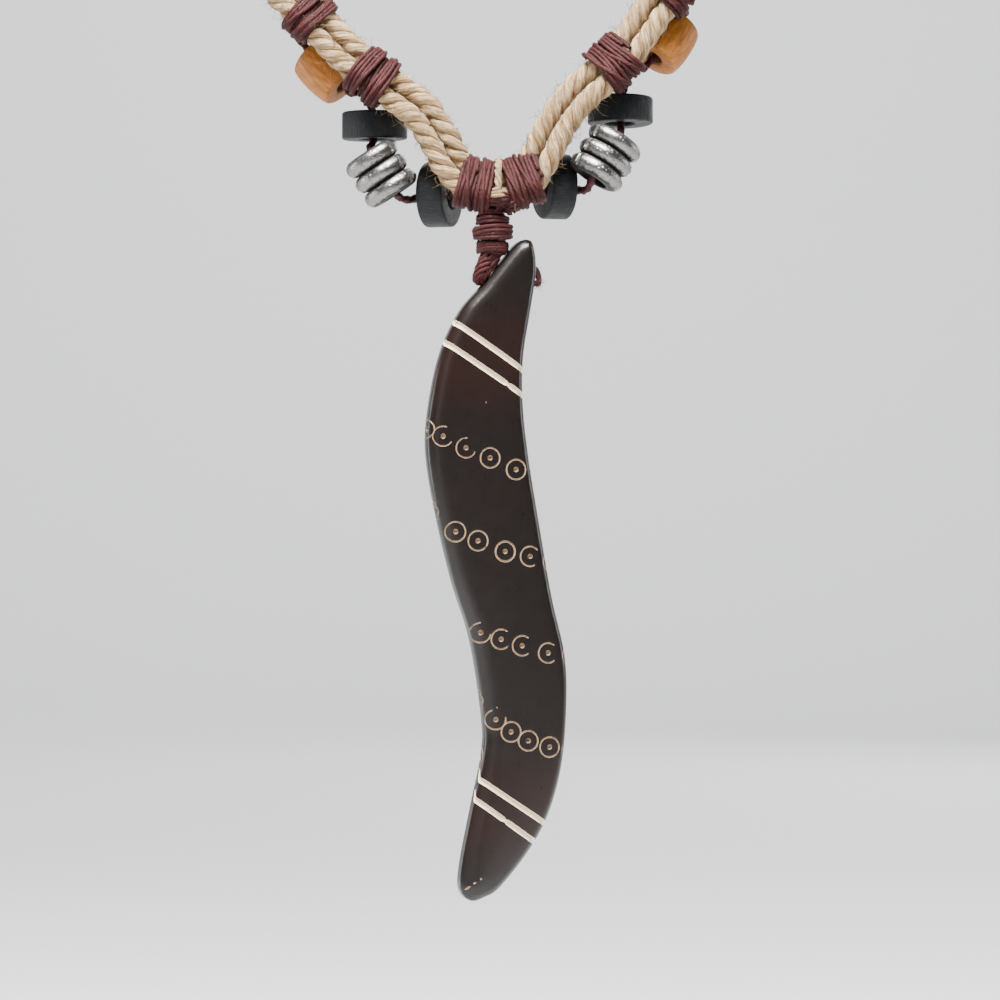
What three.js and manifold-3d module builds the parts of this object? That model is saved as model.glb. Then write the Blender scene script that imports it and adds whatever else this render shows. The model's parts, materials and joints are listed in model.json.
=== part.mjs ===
// A hanging bone pendant in the outline of a curved throwing stick, on a beaded necklace of doubled
// hemp rope. Units are millimetres, +Z is up, +X is to the wearer's left and -Y is the front.
// The origin is where the necklace hangs: the inside of its cord loop, at the top.

import * as THREE from 'three';
import * as BufferGeometryUtils from 'three/addons/utils/BufferGeometryUtils.js';
import Module from 'manifold-3d';

const wasm = await Module();
wasm.setup();

// ---------------------------------------------------------------- driving dimensions

const FIT_GAP = 0.3;                  // clearance between pieces that lie against each other

const ROPE_DIAMETER = 2.5;            // one hemp rope
const ROPE_LEAN_DEG = 28;             // how far the pair of ropes is turned out of the necklace's plane
const ROPE_STEPS = 110;
const ARC_DIVISIONS = 1000;           // how finely a route's length is measured

const BINDING_WALL = 0.5;             // wound thread over the ropes
const CENTRE_BINDING_LENGTH = 4.2;
const MIDDLE_BINDING_LENGTH = 4.8;
const UPPER_BINDING_LENGTH = 3.8;
const END_BINDING_LENGTH = 11;
const CENTRE_BINDING_AT = 3.6;        // along the rope from the lowest point of the necklace
const MIDDLE_BINDING_AT = 21.4;
const UPPER_BINDING_AT = 32.2;
const ROPE_END_DEPTH = 7;             // how far the rope ends go into the end bindings

const CORD_DIAMETER = 1.5;            // waxed closing cord
const CORD_SIDES = 8;                 // of every rope, cord and thread
const CORD_STEPS = 56;
const CORD_OFFSET = 0.95;             // half the distance between the two closing cords
const SLIDING_KNOT_LENGTH = 9;
const SLIDING_KNOT_WALL = 0.75;
const SLIDING_KNOT_AT = [20, -29.5];  // X and Z of a sliding knot's middle
const CORD_RUN = [6, 10.75];          // X and Z of the straight cord's fall through the knots
const STOPPER_RADIUS = 1.35;

const THREAD_DIAMETER = 1;            // the bead strings
const THREAD_STEPS = 16;

const DISC_DIAMETER = 8;
const DISC_THICKNESS = 3.3;
const DISC_BORE_ROOM = 2.6;           // the holes are wide enough for a string that runs aslant
const DISC_BORE = THREAD_DIAMETER + DISC_BORE_ROOM;
const BARREL_DIAMETER = 6.8;
const BARREL_LENGTH = 5.8;
const BARREL_BORE_ROOM = 1.2;
const BARREL_BORE = THREAD_DIAMETER + BARREL_BORE_ROOM;
const BARREL_END_DIAMETER = 5.6;
const RING_BEAD_DIAMETER = 7.1;
const RING_BEAD_PITCH = 2.1;
const RING_BEAD_WAIST = 5.2;
const RING_BEAD_BORE_ROOM = 3;
const RING_BEAD_BORE = THREAD_DIAMETER + RING_BEAD_BORE_ROOM;
const RINGS = 3;
const BARREL_SHOULDER = 0.12;         // how much narrower a barrel is near its ends than at its belly
const EDGE_CHAMFER = 0.3;             // of the discs and the rings
const BEAD_SEGMENTS = 18;

const PENDANT_THICKNESS = 4;
const PENDANT_BEVEL = 1.1;
const PENDANT_EDGE_POINTS = 84;
const BORE_REACH = 30;                // longer than the pendant is wide
const PENDANT_TURN_DEG = 13;          // the pendant hangs turned a little about the vertical
const PENDANT_HOLE_DIAMETER = 2;
const PENDANT_DROP = 3.414;            // from the bail's foot down to the middle of the hole
const STRIPE_WIDTH = 0.8;
const STRIPE_DEPTH = 0.3;

const LOOP_DIAMETER = 0.7;            // the twine that carries the pendant over the ropes
const LOOP_STEPS = 20;
const LOOP_X = -0.2;
const STRAND_DIAMETER = 0.8;          // the strand through the pendant's hole
const STRAND_STEPS = 34;
const BAIL_X = -0.9;
const BAIL_HEIGHT = 4.9;              // its conical neck included
const BAIL_NECK = 1.5;
const BAIL_NECK_RADIUS = 0.8;
const BAIL_RADIUS = 2.3;
const BAIL_FOOT_RADIUS = 1.2;
const BAIL_BANDS = 4;
const BAIL_LAST_BAND_STEP = 0.75;     // how much narrower the lowest band is
const BAIL_GROOVE = 0.35;             // how deep the grooves between the bands are

// ---------------------------------------------------------------- routes, chosen by hand

// middle of the pair of hemp ropes, from the left end binding round the front to the right one
const ROPE_ROUTE = [
  [-45.5, -78], [-47, -92], [-46.5, -107], [-43, -123], [-37, -137], [-30.5, -147.3],
  [-25.4, -152.8], [-20.8, -157.4], [-16.4, -161.7], [-12.9, -164.2], [-9.9, -166.4], [-7.7, -169.5],
  [-5.9, -172.8], [-3.4, -175.3], [0, -176.1],
  [3.1, -174.9], [5.1, -171.8], [6.9, -168.2], [9.3, -165], [12.2, -162.3], [15.2, -159.3],
  [18.4, -154.8], [22.6, -149.2], [30, -139.5], [37.2, -126.4], [42.7, -110.5], [45.6, -94], [45.5, -78],
];
const LOWEST_POINT = 14;              // its place in the list

// a closing cord: out of an end binding, over the top, and down through the far sliding knot
const CORD_ROUTE = [
  [-45.44, 0, -77.4], [-44.9, 0.1, -73], [-42.9, 0.4, -68.6], [-38, 0.85, -61.3], [-32, CORD_OFFSET, -51],
  [-26, CORD_OFFSET, -40.25], [-20, CORD_OFFSET, -29.5], [-14, CORD_OFFSET, -18.75],
  [-8.4, CORD_OFFSET, -8.6], [-4.9, CORD_OFFSET, -2.5], [0, CORD_OFFSET, 0.75],
  [4.9, CORD_OFFSET, -2.5], [8.4, CORD_OFFSET, -8.6], [14, CORD_OFFSET, -18.75],
  [20, CORD_OFFSET, -29.5], [24.2, 1.05, -37.1], [26.4, 1.9, -41.1],
];

const LEFT_UPPER_THREAD = [
  [-25.2, 2, -156.8], [-24.7, 4, -157.3], [-22.9, 5.2, -159.3], [-20.9, 4.4, -161.3], [-19, 3.7, -163.2],
  [-18.1, 2.2, -164.4],
];
const LEFT_LOWER_THREAD = [
  [-16.3, 2, -165.1], [-15.5, 3.9, -166.2], [-15.3, 4.3, -168.1], [-15.5, 3.2, -170],
  [-15.8, 1.6, -171.5], [-14.4, 1.3, -174.1], [-13, 1.5, -176.3], [-11.6, 3.5, -177.1],
  [-10, 5.6, -176.8], [-7.4, 5.3, -176.4], [-5.8, 4.7, -176.3], [-4.9, 2.8, -176.8],
];
const RIGHT_UPPER_THREAD = [
  [22.5, 2.1, -153.7], [22.6, 4.2, -154.2], [21.6, 5.2, -155.6], [20.2, 4.2, -157.7], [18.7, 3.1, -159.9],
  [17.3, 2, -161.4],
];
const RIGHT_LOWER_THREAD = [
  [15.5, 2.1, -163], [14.9, 4.1, -164.2], [14.7, 4.6, -166.2], [14.7, 3.9, -168],
  [14.5, 1.7, -169.5], [12.8, 1, -172.2], [11.4, 0.9, -174.4], [10.6, 3.1, -175.9],
  [9.3, 5.7, -175.8], [6.7, 5.7, -175.4], [5.2, 4.9, -175.4], [4.2, 2.9, -176.1],
];

// the strand: down from the bail, through the pendant's hole, and up behind the pendant's tip; Z is from
// the middle of the hole
const STRAND_ROUTE = [
  [-1.6, -0.6, 2.7], [-1.95, -0.85, 2], [-2.5, -1, 1.1], [-2.75, -0.8, 0.3],
  [-2, -0.43, 0], [0.3, 0.12, 0], [2.4, 0.61, 0], [4.4, 1.07, 0], [5.2, 1.6, 0.15],
  [5.2, 2.6, 0.8], [4.2, 3.5, 1.9], [2.3, 3.6, 2.6], [0.3, 3.2, 2.6], [-0.9, 2.3, 2.2],
  [-1.2, 0.9, 2.7],
];

// ---------------------------------------------------------------- materials

function material(name, color, roughness, metalness = 0) {
  const finish = new THREE.MeshStandardMaterial({ color, roughness, metalness });
  finish.name = name;
  return finish;
}

const HEMP = material('hemp', 0xd9c6a0, 0.9);
const THREAD = material('maroon_thread', 0x6e3a3c, 0.7);
const BLACK_COCO = material('black_coco', 0x26282a, 0.6);
const TURNED_WOOD = material('turned_wood', 0xc48a44, 0.5);
const SILVER = material('antiqued_silver', 0xb9bcbc, 0.3, 1);
const BONE = material('dark_bone', 0x241a18, 0.2);

// ---------------------------------------------------------------- helpers

const necklace = new THREE.Group();
const vector = ([x, y, z]) => new THREE.Vector3(x, y, z);

function addMesh(name, geometry, finish) {
  const mesh = new THREE.Mesh(geometry, finish);
  mesh.name = name;
  necklace.add(mesh);
  return mesh;
}

// a smooth curve through hand-chosen points
function curveThrough(points) {
  return new THREE.CatmullRomCurve3(points, false, 'catmullrom', 0.5);
}

// the stretch of a curve between two distances along it, moved sideways in the ropes' own frame
class Stretch extends THREE.Curve {
  constructor(base, from, to, inPlane = 0, outOfPlane = 0) {
    super();
    Object.assign(this, { base, from, to, inPlane, outOfPlane });
    this.total = base.getLength();
  }

  getPoint(t, target = new THREE.Vector3()) {
    const along = THREE.MathUtils.clamp((this.from + t * (this.to - this.from)) / this.total, 0, 1);
    const tangent = this.base.getTangentAt(along);
    const outward = new THREE.Vector3(tangent.z, 0, -tangent.x);
    return target.copy(this.base.getPointAt(along))
      .addScaledVector(outward, this.inPlane)
      .add(new THREE.Vector3(0, this.outOfPlane, 0));
  }
}

function roundSection(diameter) {
  const section = new THREE.Shape();
  for (let side = 0; side < CORD_SIDES; side += 1) {
    const angle = (2 * Math.PI * side) / CORD_SIDES;
    const x = (diameter / 2) * Math.cos(angle);
    const y = (diameter / 2) * Math.sin(angle);
    if (side === 0) section.moveTo(x, y);
    else section.lineTo(x, y);
  }
  section.closePath();
  return section;
}

// the outline round two circles whose centres are a spacing apart, turned by an angle
function pairOutline(Type, radius, spacing, turn) {
  const outline = new Type();
  outline.absarc((spacing / 2) * Math.cos(turn), (spacing / 2) * Math.sin(turn),
    radius, turn - Math.PI / 2, turn + Math.PI / 2, false);
  outline.absarc((-spacing / 2) * Math.cos(turn), (-spacing / 2) * Math.sin(turn),
    radius, turn + Math.PI / 2, turn + (3 * Math.PI) / 2, false);
  outline.closePath();
  return outline;
}

// a closed sleeve round a pair of cords
function pairSleeve({ cordRadius, spacing, turn, wall, path, steps }) {
  const sleeve = pairOutline(THREE.Shape, cordRadius + FIT_GAP + wall, spacing, turn);
  sleeve.holes.push(pairOutline(THREE.Path, cordRadius + FIT_GAP, spacing, turn));
  return new THREE.ExtrudeGeometry(sleeve, {
    steps, bevelEnabled: false, curveSegments: 5, extrudePath: path,
  });
}

function tube(path, diameter, steps) {
  return new THREE.ExtrudeGeometry(roundSection(diameter), {
    steps, bevelEnabled: false, extrudePath: path,
  });
}

function toManifold(geometry) {
  const bare = geometry.clone();
  bare.deleteAttribute('normal');
  bare.deleteAttribute('uv');
  const merged = BufferGeometryUtils.mergeVertices(bare, 1e-5);
  return new wasm.Manifold(new wasm.Mesh({
    numProp: 3,
    vertProperties: new Float32Array(merged.attributes.position.array),
    triVerts: new Uint32Array(merged.index.array),
  }));
}

function fromManifold(solid) {
  const mesh = solid.getMesh();
  const geometry = new THREE.BufferGeometry();
  geometry.setAttribute('position', new THREE.BufferAttribute(mesh.vertProperties.slice(), 3));
  geometry.setIndex(new THREE.BufferAttribute(mesh.triVerts.slice(), 1));
  geometry.computeVertexNormals();
  return geometry;
}

// ---------------------------------------------------------------- hemp ropes and their bindings

const ROPE_SPACING = ROPE_DIAMETER + FIT_GAP;
const ROPE_LEAN = THREE.MathUtils.degToRad(ROPE_LEAN_DEG);
const ROPE_CURVE = curveThrough(ROPE_ROUTE.map(([x, z]) => new THREE.Vector3(x, 0, z)));
ROPE_CURVE.arcLengthDivisions = ARC_DIVISIONS;
const ROPE_LENGTH = ROPE_CURVE.getLength();
const LOWEST_LENGTH = ROPE_CURVE.getLengths()[
  Math.round((ARC_DIVISIONS * LOWEST_POINT) / (ROPE_ROUTE.length - 1))];

function addRopes() {
  const inPlane = (ROPE_SPACING / 2) * Math.cos(ROPE_LEAN);
  const outOfPlane = (ROPE_SPACING / 2) * Math.sin(ROPE_LEAN);
  for (const [name, side] of [['outer_rope', 1], ['inner_rope', -1]]) {
    const path = new Stretch(ROPE_CURVE, 0, ROPE_LENGTH, inPlane * side, -outOfPlane * side);
    addMesh(name, tube(path, ROPE_DIAMETER, ROPE_STEPS), HEMP);
  }
}

// thread wound round both ropes, its middle a distance along them
function addBinding(name, centre, length) {
  const path = new Stretch(ROPE_CURVE, centre - length / 2, centre + length / 2);
  addMesh(name, pairSleeve({
    cordRadius: ROPE_DIAMETER / 2,
    spacing: ROPE_SPACING,
    turn: Math.PI / 2 - ROPE_LEAN,
    wall: BINDING_WALL,
    path,
    steps: Math.round(length),
  }), THREAD);
}

function addBindings() {
  for (const [side, sign] of [['left', -1], ['right', 1]]) {
    addBinding(`${side}_centre_binding`, LOWEST_LENGTH + sign * CENTRE_BINDING_AT, CENTRE_BINDING_LENGTH);
    addBinding(`${side}_middle_binding`, LOWEST_LENGTH + sign * MIDDLE_BINDING_AT, MIDDLE_BINDING_LENGTH);
    addBinding(`${side}_upper_binding`, LOWEST_LENGTH + sign * UPPER_BINDING_AT, UPPER_BINDING_LENGTH);
  }
}

// the long binding where a pair of ropes ends and its closing cord starts
function addEndBinding(name, atStart) {
  const beyond = END_BINDING_LENGTH - ROPE_END_DEPTH;
  const along = (inward) => ROPE_CURVE.getPointAt((atStart ? inward : ROPE_LENGTH - inward) / ROPE_LENGTH);
  const outward = ROPE_CURVE.getTangentAt(atStart ? 0 : 1).multiplyScalar(atStart ? -beyond : beyond);
  const points = [along(0).add(outward), along(0), along(ROPE_END_DEPTH / 2), along(ROPE_END_DEPTH)];
  addMesh(name, pairSleeve({
    cordRadius: ROPE_DIAMETER / 2,
    spacing: ROPE_SPACING,
    turn: Math.PI / 2 - ROPE_LEAN,
    wall: BINDING_WALL,
    path: curveThrough(atStart ? points : points.reverse()),
    steps: 5,
  }), THREAD);
}

// ---------------------------------------------------------------- closing cords and sliding knots

function mirrored(points) {
  return points.map(([x, y, z]) => [-x, -y, z]);
}

function addClosing() {
  const cords = [['left', CORD_ROUTE], ['right', mirrored(CORD_ROUTE)]];
  for (const [side, route] of cords) {
    const points = route.map(vector);
    const curve = curveThrough(points);
    curve.arcLengthDivisions = ARC_DIVISIONS;
    addMesh(`${side}_closing_cord`, tube(curve, CORD_DIAMETER, CORD_STEPS), THREAD);

    const last = points[points.length - 1];
    const along = curve.getTangentAt(1);
    const stopper = new THREE.SphereGeometry(STOPPER_RADIUS, 12, 8);
    const reach = STOPPER_RADIUS + FIT_GAP;
    addMesh(`${side}_end_knot`, stopper, THREAD)
      .position.copy(last.clone().addScaledVector(along, reach));
  }

  const run = new THREE.Vector3(CORD_RUN[0], 0, -CORD_RUN[1]).normalize();
  for (const [side, sign] of [['left', -1], ['right', 1]]) {
    const middle = new THREE.Vector3(sign * SLIDING_KNOT_AT[0], 0, SLIDING_KNOT_AT[1]);
    const fall = new THREE.Vector3(sign * run.x, 0, run.z).multiplyScalar(SLIDING_KNOT_LENGTH / 2);
    const path = new THREE.LineCurve3(middle.clone().sub(fall), middle.clone().add(fall));
    addMesh(`${side}_sliding_knot`, pairSleeve({
      cordRadius: CORD_DIAMETER / 2,
      spacing: 2 * CORD_OFFSET,
      turn: 0,
      wall: SLIDING_KNOT_WALL,
      path,
      steps: 1,
    }), THREAD);
  }
}

// ---------------------------------------------------------------- beads

// a turned bead about its own Z, from a half section of [radius, height] corners
function turnedBead(corners) {
  const profile = [...corners, corners[0]].map(([radius, height]) => new THREE.Vector2(radius, height));
  return new THREE.LatheGeometry(profile, BEAD_SEGMENTS);
}

function discBead() {
  const outer = DISC_DIAMETER / 2;
  const bore = DISC_BORE / 2;
  const half = DISC_THICKNESS / 2;
  return turnedBead([
    [bore, -half], [outer - EDGE_CHAMFER, -half], [outer, -half + EDGE_CHAMFER],
    [outer, half - EDGE_CHAMFER], [outer - EDGE_CHAMFER, half], [bore, half],
  ]);
}

function barrelBead() {
  const half = BARREL_LENGTH / 2;
  const bore = BARREL_BORE / 2;
  const end = BARREL_END_DIAMETER / 2;
  const belly = BARREL_DIAMETER / 2;
  return turnedBead([
    [bore, -half], [end, -half], [belly - BARREL_SHOULDER, -half * 0.7], [belly, 0],
    [belly - BARREL_SHOULDER, half * 0.7], [end, half], [bore, half],
  ]);
}

function ringBead() {
  const half = (RINGS * RING_BEAD_PITCH) / 2;
  const bore = RING_BEAD_BORE / 2;
  const crest = RING_BEAD_DIAMETER / 2;
  const waist = RING_BEAD_WAIST / 2;
  const corners = [[bore, -half]];
  for (let ring = 0; ring < RINGS; ring += 1) {
    const bottom = -half + ring * RING_BEAD_PITCH;
    corners.push(
      [waist, bottom],
      [crest - EDGE_CHAMFER, bottom + 0.2 * RING_BEAD_PITCH],
      [crest, bottom + 0.5 * RING_BEAD_PITCH],
      [crest - EDGE_CHAMFER, bottom + 0.8 * RING_BEAD_PITCH],
    );
  }
  corners.push([waist, half], [bore, half]);
  return turnedBead(corners);
}

// each bead: its name, shape, finish, middle, and the direction of its string
const BEADS = [
  ['left_wood_barrel', barrelBead, TURNED_WOOD, [-21, 4.6, -161.2], [0.68, -0.26, -0.68]],
  ['left_upper_disc', discBead, BLACK_COCO, [-15.3, 4.4, -168.1], [0, 0, -1]],
  ['left_ring_bead', ringBead, SILVER, [-14.4, 1.3, -174.1], [0.54, 0.04, -0.84]],
  ['left_lower_disc', discBead, BLACK_COCO, [-7.4, 5.3, -176.4], [0.94, -0.34, 0]],
  ['right_wood_barrel', barrelBead, TURNED_WOOD, [20.2, 4.2, -157.7], [-0.52, -0.36, -0.77]],
  ['right_upper_disc', discBead, BLACK_COCO, [14.7, 4.6, -166.2], [0, -0.06, -1]],
  ['right_ring_bead', ringBead, SILVER, [12.8, 1, -172.2], [-0.52, -0.1, -0.84]],
  ['right_lower_disc', discBead, BLACK_COCO, [6.7, 5.7, -175.4], [-0.94, -0.34, 0]],
];

function addBeads() {
  for (const [name, shape, finish, middle, axis] of BEADS) {
    const bead = addMesh(name, shape(), finish);
    bead.position.set(...middle);
    bead.quaternion.setFromUnitVectors(new THREE.Vector3(0, 0, 1), vector(axis).normalize());
    bead.geometry.rotateX(Math.PI / 2);
  }
}

function addThreads() {
  const threads = {
    left_upper_thread: LEFT_UPPER_THREAD,
    left_lower_thread: LEFT_LOWER_THREAD,
    right_upper_thread: RIGHT_UPPER_THREAD,
    right_lower_thread: RIGHT_LOWER_THREAD,
  };
  for (const [name, route] of Object.entries(threads)) {
    addMesh(name, tube(curveThrough(route.map(vector)), THREAD_DIAMETER, THREAD_STEPS), THREAD);
  }
}

// ---------------------------------------------------------------- bail

const LOWEST_ROPE_POINT = ROPE_ROUTE[LOWEST_POINT];
const ROPES_HALF_HEIGHT = (ROPE_SPACING / 2) * Math.cos(ROPE_LEAN) + ROPE_DIAMETER / 2;
const BAIL_TOP = LOWEST_ROPE_POINT[1] - ROPES_HALF_HEIGHT - 2 * FIT_GAP;
const PENDANT_HOLE_Z = BAIL_TOP - BAIL_HEIGHT - PENDANT_DROP;

// four bands of thread under a neck that narrows to where the bail bends under the ropes
function addBailBinding() {
  const pitch = (BAIL_HEIGHT - BAIL_NECK) / BAIL_BANDS;
  const profile = [[0, 0], [BAIL_NECK_RADIUS, 0]];
  for (let band = 0; band < BAIL_BANDS; band += 1) {
    const radius = BAIL_RADIUS - (band === BAIL_BANDS - 1 ? BAIL_LAST_BAND_STEP : 0);
    const top = -BAIL_NECK - band * pitch;
    profile.push([radius - BAIL_GROOVE, top], [radius, top - 0.3 * pitch], [radius, top - 0.7 * pitch]);
  }
  profile.push([BAIL_FOOT_RADIUS, -BAIL_HEIGHT], [0, -BAIL_HEIGHT]);
  const outline = profile.reverse().map(([radius, height]) => new THREE.Vector2(radius, height));
  const wraps = new THREE.LatheGeometry(outline, 16).rotateX(Math.PI / 2);
  addMesh('bail_binding', wraps, THREAD).position.set(BAIL_X, 0, BAIL_TOP);
}

// an arch of twine over both ropes, that carries the bail
function addBailLoop() {
  const reach = (ROPE_SPACING / 2) * Math.sin(ROPE_LEAN) + ROPE_DIAMETER / 2 + FIT_GAP + 0.7 * LOOP_DIAMETER;
  const middle = LOWEST_ROPE_POINT[1];
  const crown = ROPES_HALF_HEIGHT + FIT_GAP + LOOP_DIAMETER / 2;
  const arch = curveThrough([
    [-reach * 0.72, -crown], [-reach, -crown * 0.6], [-reach, 0], [-reach * 0.75, crown * 0.82],
    [0, crown + 0.2], [reach * 0.75, crown], [reach, crown * 0.25], [reach, -crown * 0.4],
    [reach * 0.72, -crown * 0.9],
  ].map(([y, z]) => new THREE.Vector3(LOOP_X, y, middle + z)));
  addMesh('bail_loop', tube(arch, LOOP_DIAMETER, LOOP_STEPS), HEMP);
}

function addBailStrand() {
  const curve = curveThrough(STRAND_ROUTE.map(vector));
  addMesh('bail_strand', tube(curve, STRAND_DIAMETER, STRAND_STEPS), THREAD).position.setZ(PENDANT_HOLE_Z);
}

// ---------------------------------------------------------------- pendant

// the outline about the middle of its hole, from the tip clockwise: across, and up
const PENDANT_OUTLINE = [
  [3.55, 5.25], [4.35, 4.55], [4.65, 1.5], [3.9, -3.6], [3.05, -9], [3, -14.5], [3.7, -21], [5.1, -29.5],
  [6.6, -38], [8.2, -45], [8.45, -51], [7.9, -58], [6.4, -63.8], [4, -68.4], [0.3, -73], [-1.7, -74.3],
  [-3.5, -74.7], [-4.7, -73.3], [-4.5, -70], [-3.2, -63.5], [-1.85, -57], [-1.85, -52.5], [-3.3, -43.3],
  [-5.6, -36], [-7.7, -27.2], [-8.75, -20.5], [-8.5, -15.5], [-7.1, -8.8], [-4.7, -3.6], [-1.9, -0.3],
  [0.9, 3.2], [2.4, 4.85],
];
const PENDANT_HOLE_X = -0.36;                 // where the outline's own origin hangs
const PENDANT_BALANCE = 0.12;                 // across, from that origin to the line through its weight

// filed stripes: where each meets the left and the right edge, across and up
const STRIPES = [
  [[-6.5, -4.3], [4.6, -11.1]],
  [[-7.4, -6.6], [4.4, -14.2]],
  [[-3.2, -59.6], [7.6, -66.9]],
  [[-3.8, -62.3], [6.3, -69.2]],
];

function pendantSolid() {
  const outline = new THREE.Shape(
    new THREE.SplineCurve([...PENDANT_OUTLINE, PENDANT_OUTLINE[0]].map(([x, y]) => new THREE.Vector2(x, y)))
      .getSpacedPoints(PENDANT_EDGE_POINTS).slice(0, -1));
  const slab = new THREE.ExtrudeGeometry(outline, {
    depth: PENDANT_THICKNESS - 2 * PENDANT_BEVEL,
    bevelThickness: PENDANT_BEVEL,
    bevelSize: PENDANT_BEVEL,
    bevelOffset: -PENDANT_BEVEL,
    bevelSegments: 2,
  });
  slab.translate(0, 0, PENDANT_BEVEL - PENDANT_THICKNESS / 2);
  let solid = toManifold(slab);

  const holeRadius = PENDANT_HOLE_DIAMETER / 2;
  const bore = new THREE.CylinderGeometry(holeRadius, holeRadius, BORE_REACH, 16);
  bore.rotateZ(Math.PI / 2);
  solid = solid.subtract(toManifold(bore));

  for (const [[leftX, leftY], [rightX, rightY]] of STRIPES) {
    const length = Math.hypot(rightX - leftX, rightY - leftY);
    const cut = new THREE.BoxGeometry(length, STRIPE_WIDTH, 2 * STRIPE_DEPTH);
    cut.rotateZ(Math.atan2(rightY - leftY, rightX - leftX));
    cut.translate((leftX + rightX) / 2, (leftY + rightY) / 2, PENDANT_THICKNESS / 2);
    solid = solid.subtract(toManifold(cut));
  }
  return solid;
}

function addPendant() {
  const geometry = fromManifold(pendantSolid());
  geometry.rotateX(Math.PI / 2);
  geometry.translate(-PENDANT_BALANCE, 0, 0);
  const pendant = addMesh('boomerang_pendant', geometry, BONE);
  pendant.position.set(PENDANT_HOLE_X + PENDANT_BALANCE, 0, PENDANT_HOLE_Z);
  pendant.rotation.z = THREE.MathUtils.degToRad(PENDANT_TURN_DEG);
}

// ---------------------------------------------------------------- assembly

addRopes();
addBindings();
addEndBinding('left_end_binding', true);
addEndBinding('right_end_binding', false);
addClosing();
addThreads();
addBeads();
addBailBinding();
addBailLoop();
addBailStrand();
addPendant();

export default necklace;
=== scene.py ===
"""Looks of a curved bone pendant on a beaded necklace of doubled hemp rope.

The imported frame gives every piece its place. Lengths are metres, +Z is up and -Y is the front.
"""

from __future__ import annotations

import json
import logging
import math
from dataclasses import dataclass, field
from enum import Enum
from typing import Callable, Iterable, Sequence

import bpy
import numpy as np
from mathutils import Matrix, Vector


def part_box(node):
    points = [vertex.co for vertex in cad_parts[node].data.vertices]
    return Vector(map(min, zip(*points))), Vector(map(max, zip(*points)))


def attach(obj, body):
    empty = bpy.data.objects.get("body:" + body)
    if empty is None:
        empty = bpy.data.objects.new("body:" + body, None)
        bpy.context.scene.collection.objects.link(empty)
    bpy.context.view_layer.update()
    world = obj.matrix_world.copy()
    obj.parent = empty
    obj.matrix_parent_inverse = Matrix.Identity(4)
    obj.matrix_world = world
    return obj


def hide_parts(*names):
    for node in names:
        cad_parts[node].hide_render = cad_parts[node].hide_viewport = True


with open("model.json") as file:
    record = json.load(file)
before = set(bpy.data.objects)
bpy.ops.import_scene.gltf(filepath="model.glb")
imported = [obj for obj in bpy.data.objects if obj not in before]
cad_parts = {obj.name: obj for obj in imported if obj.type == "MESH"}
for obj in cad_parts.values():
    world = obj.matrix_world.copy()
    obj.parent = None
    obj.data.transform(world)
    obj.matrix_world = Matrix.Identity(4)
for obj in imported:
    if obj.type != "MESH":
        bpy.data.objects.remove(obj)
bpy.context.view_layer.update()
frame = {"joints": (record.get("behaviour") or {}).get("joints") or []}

LOG = logging.getLogger("necklace")
MM = 0.001
FINE_FIBRE = 0.028 * MM  # how thick the loose fibres of the threads are
DEPTH_WAY = np.array([0.0, 1.0, 0.0])

Triple = tuple[float, float, float]
Colour = Triple

# Middle of the pair of ropes in the necklace's plane: X and Z, from the left end binding to the right.
ROPE_ROUTE = [
    (-0.0455, -0.078), (-0.047, -0.092), (-0.0465, -0.107), (-0.043, -0.123), (-0.037, -0.137),
    (-0.0305, -0.1473), (-0.0254, -0.1528), (-0.0208, -0.1574), (-0.0164, -0.1617), (-0.0129, -0.1642),
    (-0.0099, -0.1664), (-0.0077, -0.1695), (-0.0059, -0.1728), (-0.0034, -0.1753), (0.0, -0.1761),
    (0.0031, -0.1749), (0.0051, -0.1718), (0.0069, -0.1682), (0.0093, -0.165), (0.0122, -0.1623),
    (0.0152, -0.1593), (0.0184, -0.1548), (0.0226, -0.1492), (0.03, -0.1395), (0.0372, -0.1264),
    (0.0427, -0.1105), (0.0456, -0.094), (0.0455, -0.078),
]
LOWEST_POINT = 14

# The left closing cord; the right one is the same with X and Y turned over.
CORD_OFFSET = 0.00095
CORD_ROUTE = [
    (-0.04544, 0.0, -0.0774), (-0.0449, 0.0001, -0.073), (-0.0429, 0.0004, -0.0686),
    (-0.038, 0.00085, -0.0613), (-0.032, CORD_OFFSET, -0.051), (-0.026, CORD_OFFSET, -0.04025),
    (-0.02, CORD_OFFSET, -0.0295), (-0.014, CORD_OFFSET, -0.01875), (-0.0084, CORD_OFFSET, -0.0086),
    (-0.0049, CORD_OFFSET, -0.0025), (0.0, CORD_OFFSET, 0.00075), (0.0049, CORD_OFFSET, -0.0025),
    (0.0084, CORD_OFFSET, -0.0086), (0.014, CORD_OFFSET, -0.01875), (0.02, CORD_OFFSET, -0.0295),
    (0.0242, 0.00105, -0.0371), (0.0264, 0.0019, -0.0411),
]

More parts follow.
